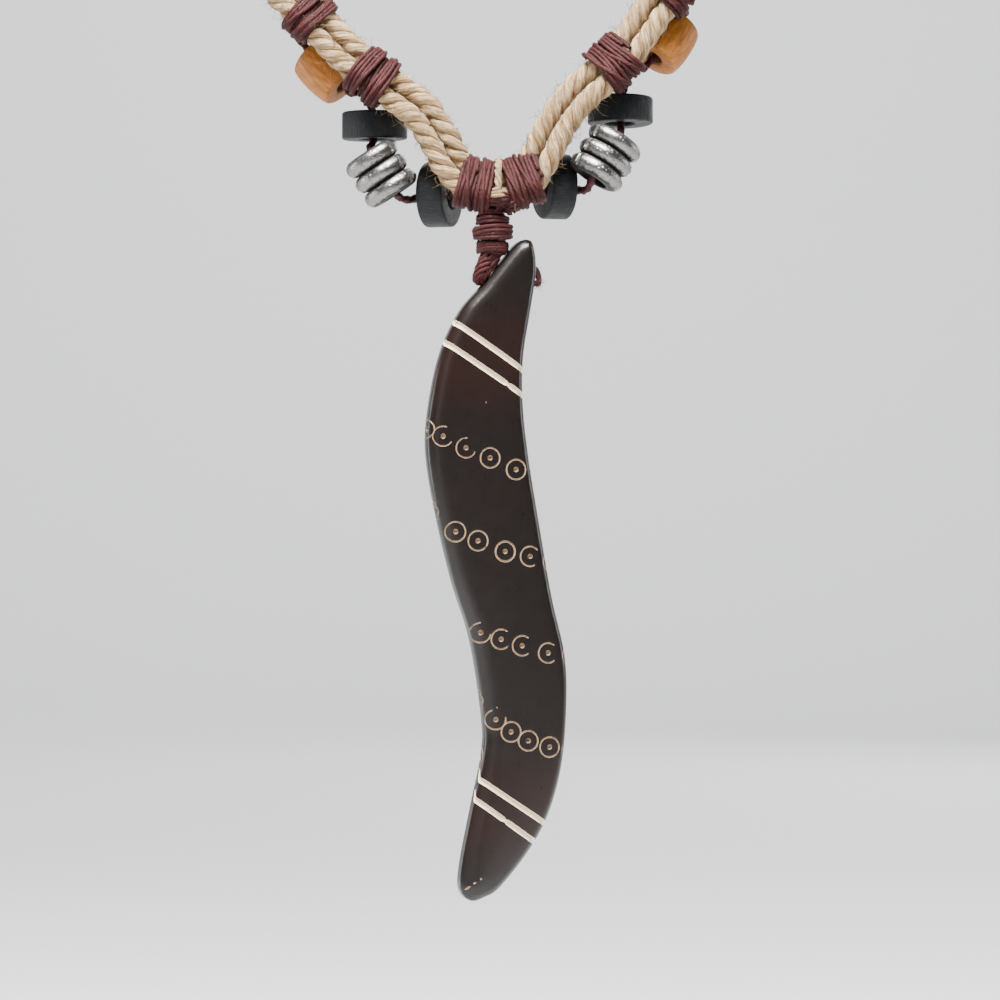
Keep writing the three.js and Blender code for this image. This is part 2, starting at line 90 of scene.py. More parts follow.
# The strings that the beads hang on, from one binding to the next.
BEAD_STRINGS = {
    "left_upper_thread": [
        (-0.0252, 0.002, -0.1568), (-0.0247, 0.004, -0.1573), (-0.0229, 0.0052, -0.1593),
        (-0.0209, 0.0044, -0.1613), (-0.019, 0.0037, -0.1632), (-0.0181, 0.0022, -0.1644),
    ],
    "left_lower_thread": [
        (-0.0163, 0.002, -0.1651), (-0.0155, 0.0039, -0.1662), (-0.0153, 0.0043, -0.1681),
        (-0.0155, 0.0032, -0.17), (-0.0158, 0.0016, -0.1715), (-0.0144, 0.0013, -0.1741),
        (-0.013, 0.0015, -0.1763), (-0.0116, 0.0035, -0.1771), (-0.01, 0.0056, -0.1768),
        (-0.0074, 0.0053, -0.1764), (-0.0058, 0.0047, -0.1763), (-0.0049, 0.0028, -0.1768),
    ],
    "right_upper_thread": [
        (0.0225, 0.0021, -0.1537), (0.0226, 0.0042, -0.1542), (0.0216, 0.0052, -0.1556),
        (0.0202, 0.0042, -0.1577), (0.0187, 0.0031, -0.1599), (0.0173, 0.002, -0.1614),
    ],
    "right_lower_thread": [
        (0.0155, 0.0021, -0.163), (0.0149, 0.0041, -0.1642), (0.0147, 0.0046, -0.1662),
        (0.0147, 0.0039, -0.168), (0.0145, 0.0017, -0.1695), (0.0128, 0.001, -0.1722),
        (0.0114, 0.0009, -0.1744), (0.0106, 0.0031, -0.1759), (0.0093, 0.0057, -0.1758),
        (0.0067, 0.0057, -0.1754), (0.0052, 0.0049, -0.1754), (0.0042, 0.0029, -0.1761),
    ],
}

# The strand from the bail down through the pendant's hole and back up behind the tip; Z is from the hole.
STRAND_ROUTE = [
    (-0.0016, -0.0006, 0.0027), (-0.00195, -0.00085, 0.002), (-0.0025, -0.001, 0.0011),
    (-0.00275, -0.0008, 0.0003), (-0.002, -0.00043, 0.0), (0.0003, 0.00012, 0.0), (0.0024, 0.00061, 0.0),
    (0.0044, 0.00107, 0.0), (0.0052, 0.0016, 0.00015), (0.0052, 0.0026, 0.0008), (0.0042, 0.0035, 0.0019),
    (0.0023, 0.0036, 0.0026), (0.0003, 0.0032, 0.0026), (-0.0009, 0.0023, 0.0022), (-0.0012, 0.0009, 0.0027),
]


# ---------------------------------------------------------------- shader bench


class Shade:
    """A number socket that writes its own Math nodes when it is used in an expression."""

    def __init__(self, bench: "Bench", socket: bpy.types.NodeSocket) -> None:
        """Wraps one output socket of a bench's material."""
        self.bench = bench
        self.socket = socket

    def _math(self, operation: str, first: object, second: object) -> "Shade":
        """Adds one Math node.

        Args:
            operation: the Math node's operation.
            first: a number or a Shade.
            second: a number or a Shade.

        Returns:
            The node's result.
        """
        node = self.bench.node("ShaderNodeMath", {"operation": operation}, {0: first, 1: second})
        return Shade(self.bench, node.outputs[0])

    def __add__(self, other: object) -> "Shade":
        """Sum."""
        return self._math("ADD", self, other)

    __radd__ = __add__

    def __sub__(self, other: object) -> "Shade":
        """Difference."""
        return self._math("SUBTRACT", self, other)

    def __rsub__(self, other: object) -> "Shade":
        """Difference from a number."""
        return self._math("SUBTRACT", other, self)

    def __mul__(self, other: object) -> "Shade":
        """Product."""
        return self._math("MULTIPLY", self, other)

    __rmul__ = __mul__

    def __pow__(self, other: object) -> "Shade":
        """Power."""
        return self._math("POWER", self, other)

    def __abs__(self) -> "Shade":
        """Size without sign."""
        return self._math("ABSOLUTE", self, 0.0)

    def rise(self, low: float, high: float) -> "Shade":
        """A smooth step that is 0 below low and 1 above high."""
        node = self.bench.node(
            "ShaderNodeMapRange",
            {"interpolation_type": "SMOOTHSTEP"},
            {"Value": self, "From Min": low, "From Max": high, "To Min": 0.0, "To Max": 1.0},
        )
        return Shade(self.bench, node.outputs[0])


class Bench:
    """One material while it is being wired: a Principled surface and the nodes that feed it."""

    def __init__(self, name: str) -> None:
        """Starts a material of that name."""
        self.material = bpy.data.materials.new(name)
        self.material.use_nodes = True
        self.tree = self.material.node_tree
        self.surface = self.tree.nodes["Principled BSDF"]

    def node(self, kind: str, settings: dict | None = None, inputs: dict | None = None) -> bpy.types.Node:
        """Adds any node.

        Args:
            kind: the node's type.
            settings: its properties.
            inputs: values, sockets or Shades by socket name or number.

        Returns:
            The new node.
        """
        node = self.tree.nodes.new(kind)
        for key, value in (settings or {}).items():
            setattr(node, key, value)
        for key, value in (inputs or {}).items():
            self.feed(node.inputs[key], value)
        return node

    def feed(self, socket: bpy.types.NodeSocket, value: object) -> None:
        """Links a Shade or socket to a socket, or sets its value."""
        if isinstance(value, Shade):
            self.tree.links.new(value.socket, socket)
        elif isinstance(value, bpy.types.NodeSocket):
            self.tree.links.new(value, socket)
        elif isinstance(value, tuple) and len(value) == 3 and socket.type == "RGBA":
            socket.default_value = (*value, 1.0)
        else:
            socket.default_value = value

    def place(self, stretch: Triple = (1, 1, 1), attribute: str = "") -> bpy.types.NodeSocket:
        """Where a point is, in millimetres times a stretch.

        Args:
            stretch: how many pattern units a millimetre is along each axis.
            attribute: the piece's own vector attribute, or none for Object coordinates.

        Returns:
            The vector socket.
        """
        if attribute:
            source = self.node("ShaderNodeAttribute", {"attribute_name": attribute}).outputs["Vector"]
        else:
            source = self.node("ShaderNodeTexCoord").outputs["Object"]
        scale = tuple(share / MM for share in stretch)
        return self.node("ShaderNodeMapping", {}, {"Vector": source, "Scale": scale}).outputs[0]

    def along(self, around: float, length: float, lean: float = 0.0) -> bpy.types.NodeSocket:
        """A pattern that follows a strand, read from its own UV map.

        Args:
            around: pattern units in one turn round the strand.
            length: pattern units in a millimetre along it.
            lean: turns by which the pattern winds in a millimetre.

        Returns:
            The vector socket.
        """
        split = self.node("ShaderNodeSeparateXYZ", {}, {0: self.node("ShaderNodeUVMap").outputs[0]})
        turn = Shade(self, split.outputs[0])
        run = Shade(self, split.outputs[1])
        wound = (turn + run * lean) * math.tau
        sine = Shade(self, self.node("ShaderNodeMath", {"operation": "SINE"}, {0: wound}).outputs[0])
        cosine = Shade(self, self.node("ShaderNodeMath", {"operation": "COSINE"}, {0: wound}).outputs[0])
        reach = around / math.tau
        joined = {0: sine * reach, 1: cosine * reach, 2: run * length}
        return self.node("ShaderNodeCombineXYZ", {}, joined).outputs[0]

    def noise(self, place: bpy.types.NodeSocket, scale: float = 1.0, detail: float = 3.0,
              rough: float = 0.55) -> Shade:
        """Noise of a scale at a place, from 0 to 1."""
        values = {"Vector": place, "Scale": scale, "Detail": detail, "Roughness": rough}
        return Shade(self, self.node("ShaderNodeTexNoise", {}, values).outputs[0])

    def cells(self, place: bpy.types.NodeSocket, scale: float = 1.0) -> Shade:
        """Distance to the nearest of scattered points."""
        values = {"Vector": place, "Scale": scale}
        return Shade(self, self.node("ShaderNodeTexVoronoi", {}, values).outputs["Distance"])

    def number(self, attribute: str) -> Shade:
        """The piece's own number attribute."""
        source = self.node("ShaderNodeAttribute", {"attribute_name": attribute})
        return Shade(self, source.outputs["Fac"])

    def mix(self, share: object, first: object, second: object) -> bpy.types.NodeSocket:
        """Blends two colours.

        Args:
            share: how much of the second shows.
            first: a colour or its socket.
            second: a colour or its socket.

        Returns:
            The colour socket.
        """
        return self.node("ShaderNodeMix", {"data_type": "RGBA"}, {0: share, 6: first, 7: second}).outputs[2]

    def finish(self, **sockets: object) -> bpy.types.Material:
        """Feeds the Principled surface.

        Args:
            sockets: its sockets, with _ for a blank, and Height with Depth for a bump.

        Returns:
            The material.
        """
        height = sockets.pop("Height", None)
        depth = sockets.pop("Depth", 0.05 * MM)
        if height is not None:
            bump = self.node("ShaderNodeBump", {}, {"Height": height, "Distance": depth, "Strength": 1.0})
            self.feed(self.surface.inputs["Normal"], bump.outputs[0])
        for name, value in sockets.items():
            self.feed(self.surface.inputs[name.replace("_", " ")], value)
        return self.material


# ---------------------------------------------------------------- finishes


@dataclass(frozen=True)
class HempFinish:
    """Dry twisted hemp: pale straw fibres with painted shade between the plies."""

    straw: Colour = (0.20, 0.118, 0.054)
    pale: Colour = (0.44, 0.32, 0.185)
    # dark husk fibres, and also the colour of the painted shade between the plies
    husk: Colour = (0.17, 0.085, 0.032)
    fibre_lean: float = 0.1

    def make(self, name: str = "hemp_rope") -> bpy.types.Material:
        """The material of the ropes and the twine."""
        bench = Bench(name)
        fibres = bench.noise(bench.along(14.0, 0.5, self.fibre_lean), 1.0, 5.0, 0.7)
        tufts = bench.noise(bench.along(5.0, 0.5, self.fibre_lean), 1.0, 2.0)
        patches = bench.noise(bench.place(), 0.22, 2.0)
        colour = bench.mix(fibres.rise(0.38, 0.60), self.straw, self.pale)
        flecks = bench.noise(bench.along(20.0, 0.7, self.fibre_lean), 1.0, 3.0).rise(0.56, 0.70)
        colour = bench.mix(flecks * 0.75, colour, self.husk)
        colour = bench.mix(patches.rise(0.45, 0.75) * 0.35, colour, self.straw)
        # painted shade: darker where the rope's surface lies deep between its plies
        colour = bench.mix(bench.number("recess").rise(0.15, 0.85) * 0.9, colour, self.husk)
        return bench.finish(
            Base_Color=colour, Roughness=0.9, Height=fibres * 0.8 + tufts * 0.7, Depth=0.38 * MM,
            Sheen_Weight=0.05, Sheen_Roughness=0.5, Specular_IOR_Level=0.08,
        )


@dataclass(frozen=True)
class ThreadFinish:
    """Waxed maroon thread with a painted pinkish highlight, in streaks and waxy patches, and painted shade
    where it lies deep in a winding.
    """

    name: str = "maroon_thread"
    # the darkest fibres, and also the colour of the painted shade
    deep: Colour = (0.010, 0.0020, 0.0022)
    maroon: Colour = (0.040, 0.0085, 0.0084)
    # the colour of the painted highlight
    bloom: Colour = (0.150, 0.040, 0.040)
    roughness: float = 0.58

    def make(self) -> bpy.types.Material:
        """The material of the bindings, strings and cords."""
        bench = Bench(self.name)
        fibres = bench.noise(bench.along(9.0, 1.1, 0.45), 1.0, 3.0, 0.6)
        wax = bench.noise(bench.place(), 0.8, 3.0)
        colour = bench.mix(fibres.rise(0.3, 0.6), self.deep, self.maroon)
        # painted highlight: pinkish on the brightest fibre streaks and, weaker, on waxy patches
        colour = bench.mix(fibres.rise(0.60, 0.80) * 0.6, colour, self.bloom)
        colour = bench.mix(wax.rise(0.5, 0.8) * 0.2, colour, self.bloom)
        # painted shade: darker where the thread lies deep under other turns of a winding, and over the whole
        # bail lashing
        colour = bench.mix(bench.number("recess").rise(0.3, 1.0) * 0.6, colour, self.deep)
        return bench.finish(
            Base_Color=colour, Roughness=self.roughness + 0.2 * (wax - 0.5), Height=fibres,
            Depth=0.11 * MM, Sheen_Weight=0.02, Sheen_Roughness=0.4, Specular_IOR_Level=0.12,
        )


@dataclass(frozen=True)
class CocoFinish:
    """Dyed coconut shell, sawn and rubbed to a satin black, with a painted grey highlight along its edges."""

    dye: Colour = (0.0022, 0.0024, 0.0028)
    # the lighter grain, and also the colour of the painted edge highlight
    worn: Colour = (0.0145, 0.016, 0.018)

    def make(self) -> bpy.types.Material:
        """The material of the disc beads."""
        bench = Bench("black_coco")
        grain = bench.noise(bench.place((7.0, 7.0, 1.1), "turned"), 1.0, 4.0, 0.65)
        rub_and_highlight_patches = bench.noise(bench.place((1, 1, 1), "turned"), 0.9, 3.0)
        colour = bench.mix(grain.rise(0.42, 0.72) * 0.8, self.dye, self.worn)
        # painted highlight: lighter grey along the rims and the edges of the faces, in patches
        colour = bench.mix(bench.number("edge") * (0.25 + 0.5 * rub_and_highlight_patches), colour, self.worn)
        return bench.finish(
            Base_Color=colour, Roughness=0.34 + 0.3 * rub_and_highlight_patches, Height=grain, Depth=0.11 * MM,
            Specular_IOR_Level=0.16,
        )


@dataclass(frozen=True)
class WoodFinish:
    """Light turned wood under a warm varnish, with fine dark pores along the grain, and painted shade on its
    ends and in its bore.
    """

    honey: Colour = (0.36, 0.135, 0.022)
    amber: Colour = (0.20, 0.062, 0.010)
    # the dark pores, and also the colour of the painted shade
    pore: Colour = (0.10, 0.032, 0.009)

    def make(self) -> bpy.types.Material:
        """The material of the barrel beads."""
        bench = Bench("turned_wood")
        grain = bench.noise(bench.place((2.2, 2.2, 0.45), "turned"), 1.0, 4.0, 0.6)
        pores = bench.noise(bench.place((9.0, 9.0, 2.2), "turned"), 1.0, 2.0, 0.5).rise(0.6, 0.72)
        cloud = bench.noise(bench.place((1, 1, 1), "turned"), 0.5, 2.0)
        colour = bench.mix(grain.rise(0.3, 0.7), self.honey, self.amber)
        colour = bench.mix(cloud.rise(0.4, 0.8) * 0.4, colour, self.amber)
        colour = bench.mix(pores * 0.55, colour, self.pore)
        # painted shade: darker on the bead's end faces and in its bore
        colour = bench.mix(bench.number("recess") * 0.75, colour, self.pore)
        return bench.finish(
            Base_Color=colour, Roughness=0.42 + 0.15 * cloud, Height=grain * 0.5 - pores * 0.6,
            Depth=0.05 * MM, Coat_Weight=0.06, Coat_Roughness=0.3, Specular_IOR_Level=0.18,
        )


@dataclass(frozen=True)
class SilverFinish:
    """Antiqued silver plate: bright crests and blackened hollows."""

    bright: Colour = (0.17, 0.167, 0.163)
    tarnish: Colour = (0.012, 0.010, 0.009)

    def make(self) -> bpy.types.Material:
        """The material of the ring beads."""
        bench = Bench("antiqued_silver")
        spots = bench.noise(bench.place((1, 1, 1), "turned"), 1.6, 4.0, 0.65)
        pits = bench.cells(bench.place((1, 1, 1), "turned"), 2.3)
        dark = (bench.number("recess") + (spots - 0.5) * 2.0).rise(0.12, 0.62)
        colour = bench.mix(dark, self.bright, self.tarnish)
        return bench.finish(
            Base_Color=colour, Metallic=1.0 - 0.5 * dark, Roughness=0.2 + 0.22 * spots + 0.3 * dark,
            Height=spots * 0.8 + pits.rise(0.0, 0.4) * 0.5, Depth=0.10 * MM,
        )


@dataclass(frozen=True)
class BoneFinish:
    """Stained bone, polished: almost black, with red-brown where the stain is thin."""

    stain: Colour = (0.0050, 0.0034, 0.0030)
    thin: Colour = (0.017, 0.0046, 0.0028)
    thin_heights: tuple[float, ...] = (-0.1967, -0.2510)

    def make(self) -> bpy.types.Material:
        """The material of the pendant's polished faces."""
        bench = Bench("dark_bone")
        cloud = bench.noise(bench.place((1.0, 1.0, 0.45)), 0.35, 3.0)
        height = Shade(bench, bench.node(
            "ShaderNodeSeparateXYZ", {}, {0: bench.node("ShaderNodeTexCoord").outputs["Object"]}).outputs[2])
        near = [1.0 - abs(height - level).rise(1.5 * MM, 9 * MM) for level in self.thin_heights]
        share = (near[0] + near[1]) * 0.3 + cloud.rise(0.5, 0.8) * 0.12
        colour = bench.mix(share, self.stain, self.thin)
        scuffs = bench.noise(bench.place((6.0, 6.0, 0.6)), 1.0, 5.0, 0.7)
        haze = bench.noise(bench.place(), 0.6, 4.0)
        return bench.finish(
            Base_Color=colour, Roughness=0.20 + 0.10 * haze + 0.10 * scuffs, Height=scuffs * 0.35 + haze,
            Depth=0.012 * MM, Specular_IOR_Level=0.3, Coat_Weight=0.06, Coat_Roughness=0.10,
        )


@dataclass(frozen=True)
class CutBoneFinish:
    """Bare bone in a filed or engraved line, browned where stain has run in."""

    name: str
    bone: Colour
    browned: Colour
    stained_share: float

    def make(self) -> bpy.types.Material:
        """The material of a cut's inside."""
        bench = Bench(self.name)
        stain = bench.noise(bench.place(), 1.3, 3.0)
        low = 0.72 - 0.3 * self.stained_share
        colour = bench.mix(stain.rise(low, low + 0.2), self.bone, self.browned)
        return bench.finish(Base_Color=colour, Roughness=0.62, Height=stain, Depth=0.02 * MM)


@dataclass(frozen=True)
class StageFinish:
    """Plain pale studio paper."""

    paper: Colour = (0.66, 0.665, 0.675)

    def make(self) -> bpy.types.Material:
        """The material of the floor and backdrop."""
        bench = Bench("pale_paper")
        tone = bench.noise(bench.place(), 0.01, 1.0)
        return bench.finish(Base_Color=bench.mix(tone * 0.04, self.paper, (0.7, 0.7, 0.7)), Roughness=0.9)


# ---------------------------------------------------------------- curves


def smooth_through(points: Sequence[Sequence[float]], per_span: int = 24, closed: bool = False) -> np.ndarray:
    """Points close together on the smooth curve through given points.

    Args:
        points: the given points, two or three numbers each.
        per_span: steps from one point to the next.
        closed: whether the curve runs back to its start.

    Returns:
        An array with a row for each point on the curve.
    """
    given = np.array(points, float)
    if closed:
        padded = np.vstack([given[-1], given, given[0], given[1]])
    else:
        padded = np.vstack([2 * given[0] - given[1], given, 2 * given[-1] - given[-2]])
    t = (np.arange(per_span) / per_span)[:, None]
    spans = []
    for before, start, end, after in zip(padded, padded[1:], padded[2:], padded[3:]):
        leave = 0.5 * (end - before)
        arrive = 0.5 * (after - start)
        cubic = (2 * t**3 - 3 * t**2 + 1) * start + (t**3 - 2 * t**2 + t) * leave
        spans.append(cubic + (3 * t**2 - 2 * t**3) * end + (t**3 - t**2) * arrive)
    if not closed:
        spans.append(given[-1:])
    return np.vstack(spans)


def unit(rows: np.ndarray) -> np.ndarray:
    """Each row scaled to a length of 1."""
    return rows / np.linalg.norm(rows, axis=1, keepdims=True)


def run_along(path: np.ndarray) -> np.ndarray:
    """How far along a path each of its points is."""
    return np.concatenate([[0.0], np.cumsum(np.linalg.norm(np.diff(path, axis=0), axis=1))])


def round_about(angles: np.ndarray, first: np.ndarray, second: np.ndarray) -> np.ndarray:
    """Directions at angles round a path, from its two directions across at each point."""
    return np.cos(angles)[None, :, None] * first[:, None] + np.sin(angles)[None, :, None] * second[:, None]


def loose_ways(path: np.ndarray, rng: np.random.Generator) -> tuple[np.ndarray, np.ndarray]:
    """Directions along a path, and random ones away from it, at each of its points."""
    along = unit(np.gradient(path, axis=0))
    return along, unit(np.cross(along, rng.normal(size=along.shape)))


class Spine:
    """A line in a plane of constant Y, measured by the distance along it."""

    def __init__(self, points: np.ndarray) -> None:
        """Takes the line's points, close together, with X, Y and Z."""
        self.points = points
        self.marks = run_along(points)
        self.slopes = np.gradient(points, self.marks, axis=0)

    @property
    def length(self) -> float:
        """The whole length."""
        return float(self.marks[-1])

    def _pick(self, table: np.ndarray, distance: np.ndarray) -> np.ndarray:
        """Rows of a table at distances along the line, carried on past its ends."""
        inside = np.clip(distance, 0, self.length)
        return np.stack([np.interp(inside, self.marks, table[:, axis]) for axis in range(3)], axis=-1)

    def frames(self, distance: np.ndarray) -> tuple[np.ndarray, np.ndarray, np.ndarray]:
        """Centres, outward directions and tangents at distances along the line."""
        tangent = unit(self._pick(self.slopes, distance))
        past = (distance - np.clip(distance, 0, self.length))[:, None]
        centre = self._pick(self.points, distance) + tangent * past
        outward = np.stack([tangent[:, 2], np.zeros(len(tangent)), -tangent[:, 0]], axis=1)
        return centre, outward, tangent


@dataclass
class Belt:
    """The line round a pair of round cores, or round one when they lie on each other."""

    spine: Spine
    half_spacing: float
    lean: float

    def points(self, distance: np.ndarray, turns: np.ndarray, reach: np.ndarray) -> np.ndarray:
        """Points on the belt.

        Args:
            distance: how far along the spine each point is.
            turns: how many turns round the pair it has made.
            reach: its distance from the nearest core's middle.

        Returns:
            The points.
        """
        straight = 2 * self.half_spacing
        arc = math.pi * reach
        run = (turns % 1.0) * 2 * (straight + arc)
        second = run >= straight + arc
        run = np.where(second, run - straight - arc, run)
        on_arc = run >= straight
        angle = np.where(on_arc, (run - straight) / reach, 0.0) - math.pi / 2
        across = np.where(on_arc, self.half_spacing + reach * np.cos(angle), run - self.half_spacing)
        proud = np.where(on_arc, reach * np.sin(angle), -reach)
        side = np.where(second, -1.0, 1.0)
        across, proud = across * side, proud * side
        centre, outward, _ = self.spine.frames(distance)
        first = math.cos(self.lean) * outward - math.sin(self.lean) * DEPTH_WAY
        other = math.sin(self.lean) * outward + math.cos(self.lean) * DEPTH_WAY
        return centre + across[:, None] * first + proud[:, None] * other


def wander(rng: np.random.Generator, count: int, spacing: float) -> np.ndarray:
    """Smooth random numbers between about -1 and 1.

    Args:
        rng: the seeded source.
        count: how many.
        spacing: how many of them one swing takes.

    Returns:
        The numbers.
    """
    knots = rng.uniform(-1, 1, int(count / spacing) + 4)
    place = np.arange(count) / spacing
    low = place.astype(int)
    share = place - low
    share = share * share * (3 - 2 * share)
    return knots[low] * (1 - share) + knots[low + 1] * share


# ---------------------------------------------------------------- strands as meshes


class StrandMesh:
    """Many strands gathered into one mesh, with a UV map that runs round and along each."""

    def __init__(self) -> None:
        """Starts with no strands."""
        self.points: list[np.ndarray] = []
        self.faces: list[list[int]] = []
        self.uvs: list[np.ndarray] = []
        self.recess: list[np.ndarray] = []
        self.count = 0

    @staticmethod
    def cross_frames(path: np.ndarray) -> tuple[np.ndarray, np.ndarray]:
        """Two directions across a path at each point, with no twist from one to the next."""
        tangents = unit(np.gradient(path, axis=0))
        start = DEPTH_WAY if abs(tangents[0][1]) < 0.9 else np.array([1.0, 0.0, 0.0])
        side = np.cross(tangents[0], start)
        side /= np.linalg.norm(side)
        sides = np.empty_like(path)
        for index, tangent in enumerate(tangents):
            side = side - tangent * side.dot(tangent)
            side /= math.sqrt(side.dot(side))
            sides[index] = side
        return sides, np.cross(tangents, sides)

    def add(self, path: np.ndarray, radii: np.ndarray, recess: np.ndarray | float = 0.0) -> None:
        """Adds one strand with closed ends.

        Args:
            path: its middle line.
            radii: its radius, a row for each point and a column for each side.
            recess: how deep it lies in shade, from 0 to 1, in the same shape or as one number.
        """
        rings, sides = radii.shape
        first, second = self.cross_frames(path)
        angle = np.arange(sides) * math.tau / sides
        body = path[:, None] + radii[:, :, None] * round_about(angle, first, second)
        ring = np.arange(rings - 1)[:, None] * sides
        here = np.arange(sides)[None]
        after = (here + 1) % sides
        quads = np.stack([ring + here, ring + after, ring + sides + after, ring + sides + here], axis=-1)
        run = run_along(path) / MM
        low, high = run[:-1, None], run[1:, None]
        u_low = (np.arange(sides) / sides)[None]
        u_high = u_low + 1 / sides
        uv = np.stack(np.broadcast_arrays(
            u_low, low, u_high, low, u_high, high, u_low, high), axis=-1).reshape(-1, 2)
        self.faces += (quads.reshape(-1, 4) + self.count).tolist()
        self.faces.append((np.arange(sides)[::-1] + self.count).tolist())
        self.faces.append((np.arange(sides) + self.count + (rings - 1) * sides).tolist())
        self.uvs += [uv, np.zeros((sides, 2)), np.full((sides, 2), run[-1])]
        self.points.append(body.reshape(-1, 3))
        self.recess.append(np.broadcast_to(recess, radii.shape).reshape(-1))
        self.count += rings * sides

    def build(self, name: str, finish: bpy.types.Material) -> bpy.types.Object:
        """Makes the object.

        Args:
            name: the piece's name.
            finish: its material.

        Returns:
            The new piece, smooth shaded, at the origin.
        """
        mesh = bpy.data.meshes.new(name)
        mesh.from_pydata(np.vstack(self.points).tolist(), [], self.faces)
        mesh.uv_layers.new(name="Strand").data.foreach_set("uv", np.vstack(self.uvs).ravel())
        shade = mesh.attributes.new("recess", "FLOAT", "POINT")
        shade.data.foreach_set("value", np.concatenate(self.recess))
        mesh.shade_smooth()
        mesh.materials.append(finish)
        piece = bpy.data.objects.new(name, mesh)
        bpy.context.scene.collection.objects.link(piece)
        return piece


@dataclass(frozen=True)
class Yarn:
    """A twisted thread: lobes wind round it."""

    diameter: float
    sides: int = 8
    lobes: int = 2
    lobe_depth: float = 0.13
    twist: float = 1.5 * MM

    def radii(self, path: np.ndarray, rng: np.random.Generator, uneven: float = 0.05) -> np.ndarray:
        """The thread's radius round and along a path, from thick to thin by a random share."""
        run = run_along(path)
        angle = np.arange(self.sides) * math.tau / self.sides
        wave = np.cos(self.lobes * (angle[None] + run[:, None] * math.tau / self.twist))
        swell = 1 + uneven * wander(rng, len(path), 9)[:, None]
        return self.diameter / 2 * (1 + self.lobe_depth * (wave - 0.4)) * swell


@dataclass
class Fuzz:
    """Loose fibres that stand out from a strand's surface."""

    seed: int
    thickness: float = 0.035 * MM
    shortest: float = 0.5 * MM
    longest: float = 2.2 * MM
    steps: int = 6

    def grow(self, mesh: StrandMesh, roots: np.ndarray, outward: np.ndarray, along: np.ndarray,
             count: int) -> None:
        """Adds fibres at random roots.

        Args:
            mesh: the strands that the fibres join.
            roots: points on the surface.
            outward: the direction away from the strand at each root.
            along: the strand's direction at each root.
            count: how many fibres.
        """
        rng = np.random.default_rng(self.seed)
        picks = rng.integers(0, len(roots), count)
        for pick in picks:
            length = self.shortest + (self.longest - self.shortest) * rng.random() ** 2.2
            way = outward[pick] * rng.uniform(0.25, 1.0) + along[pick] * rng.uniform(-1.2, 1.2)
            way = way + rng.normal(0, 0.35, 3)
            way /= np.linalg.norm(way)
            curl = rng.normal(0, 0.32, 3)
            path = [roots[pick]]
            for _ in range(self.steps):
                way = way + curl + rng.normal(0, 0.16, 3)
                way /= np.linalg.norm(way)
                path.append(path[-1] + way * length / self.steps)
            taper = np.linspace(1.0, 0.35, self.steps + 1)[:, None]
            radii = self.thickness * rng.uniform(0.6, 1.2) * np.repeat(taper, 3, axis=1)
            mesh.add(np.array(path), radii)


# ---------------------------------------------------------------- hand modelling


class Hand:
    """The modelling steps that more than one piece takes."""

    @staticmethod
    def clear() -> None:
        """Deselects everything."""
        if bpy.context.object and bpy.context.object.mode != "OBJECT":
            bpy.ops.object.mode_set(mode="OBJECT")
        bpy.ops.object.select_all(action="DESELECT")

    @staticmethod
    def pick(piece: bpy.types.Object) -> None:
        """Makes a piece the active one and the only one selected."""
        Hand.clear()
        piece.select_set(True)
        bpy.context.view_layer.objects.active = piece

    @staticmethod
    def name(name: str) -> bpy.types.Object:
        """Names the new object and its mesh."""
        piece = bpy.context.object
        piece.name = name
        piece.data.name = name
        return piece

    @staticmethod
    def coords(piece: bpy.types.Object) -> np.ndarray:
        """The piece's points."""
        table = np.empty(len(piece.data.vertices) * 3)
        piece.data.vertices.foreach_get("co", table)
        return table.reshape(-1, 3)

    @staticmethod
    def set_coords(piece: bpy.types.Object, points: np.ndarray) -> None:
        """Moves the piece's points."""
        piece.data.vertices.foreach_set("co", points.ravel())
        piece.data.update()

    @staticmethod
    def select_faces(piece: bpy.types.Object, keep: Iterable[int]) -> None:
        """Selects faces by number in object mode, and nothing else."""
        mesh = piece.data
        for group in (mesh.vertices, mesh.edges, mesh.polygons):
            group.foreach_set("select", np.zeros(len(group), bool))
        for index in keep:
            mesh.polygons[index].select = True

    @staticmethod
    def select_edges(piece: bpy.types.Object, keep: Callable[[np.ndarray], bool]) -> None:
        """Selects the edges whose two ends pass a test, in object mode, and nothing else."""
        points = Hand.coords(piece)
        bpy.context.view_layer.objects.active = piece
        bpy.ops.object.mode_set(mode="EDIT")
        bpy.ops.mesh.select_mode(type="EDGE")
        bpy.ops.mesh.select_all(action="DESELECT")
        bpy.ops.object.mode_set(mode="OBJECT")
        for edge in piece.data.edges:
            edge.select = bool(keep(points[list(edge.vertices)]))

    @staticmethod
    def apply_modifier(piece: bpy.types.Object, kind: str, **settings: object) -> None:
        """Adds a modifier with its settings and applies it."""
        Hand.pick(piece)
        modifier = piece.modifiers.new(kind.lower(), kind)
        for key, value in settings.items():
            setattr(modifier, key, value)
        bpy.ops.object.modifier_apply(modifier=modifier.name)

    @staticmethod
    def cut(piece: bpy.types.Object, cutters: Sequence[bpy.types.Object]) -> None:
        """Cuts joined tools out of a piece; the cut faces take the tools' finish."""
        Hand.clear()
        for cutter in cutters:
            cutter.select_set(True)
        bpy.context.view_layer.objects.active = cutters[0]
        if len(cutters) > 1:
            bpy.ops.object.join()
        tool = cutters[0]
        Hand.apply_modifier(
            piece, "BOOLEAN", operation="DIFFERENCE", object=tool, solver="EXACT", material_mode="TRANSFER"
        )
        bpy.data.objects.remove(tool)

    @staticmethod
    def shade(piece: bpy.types.Object, degrees: float) -> None:
        """Smooth shading, with edges sharper than an angle left crisp."""
        Hand.pick(piece)
        bpy.ops.object.shade_smooth_by_angle(angle=math.radians(degrees))


# ---------------------------------------------------------------- sub-assemblies


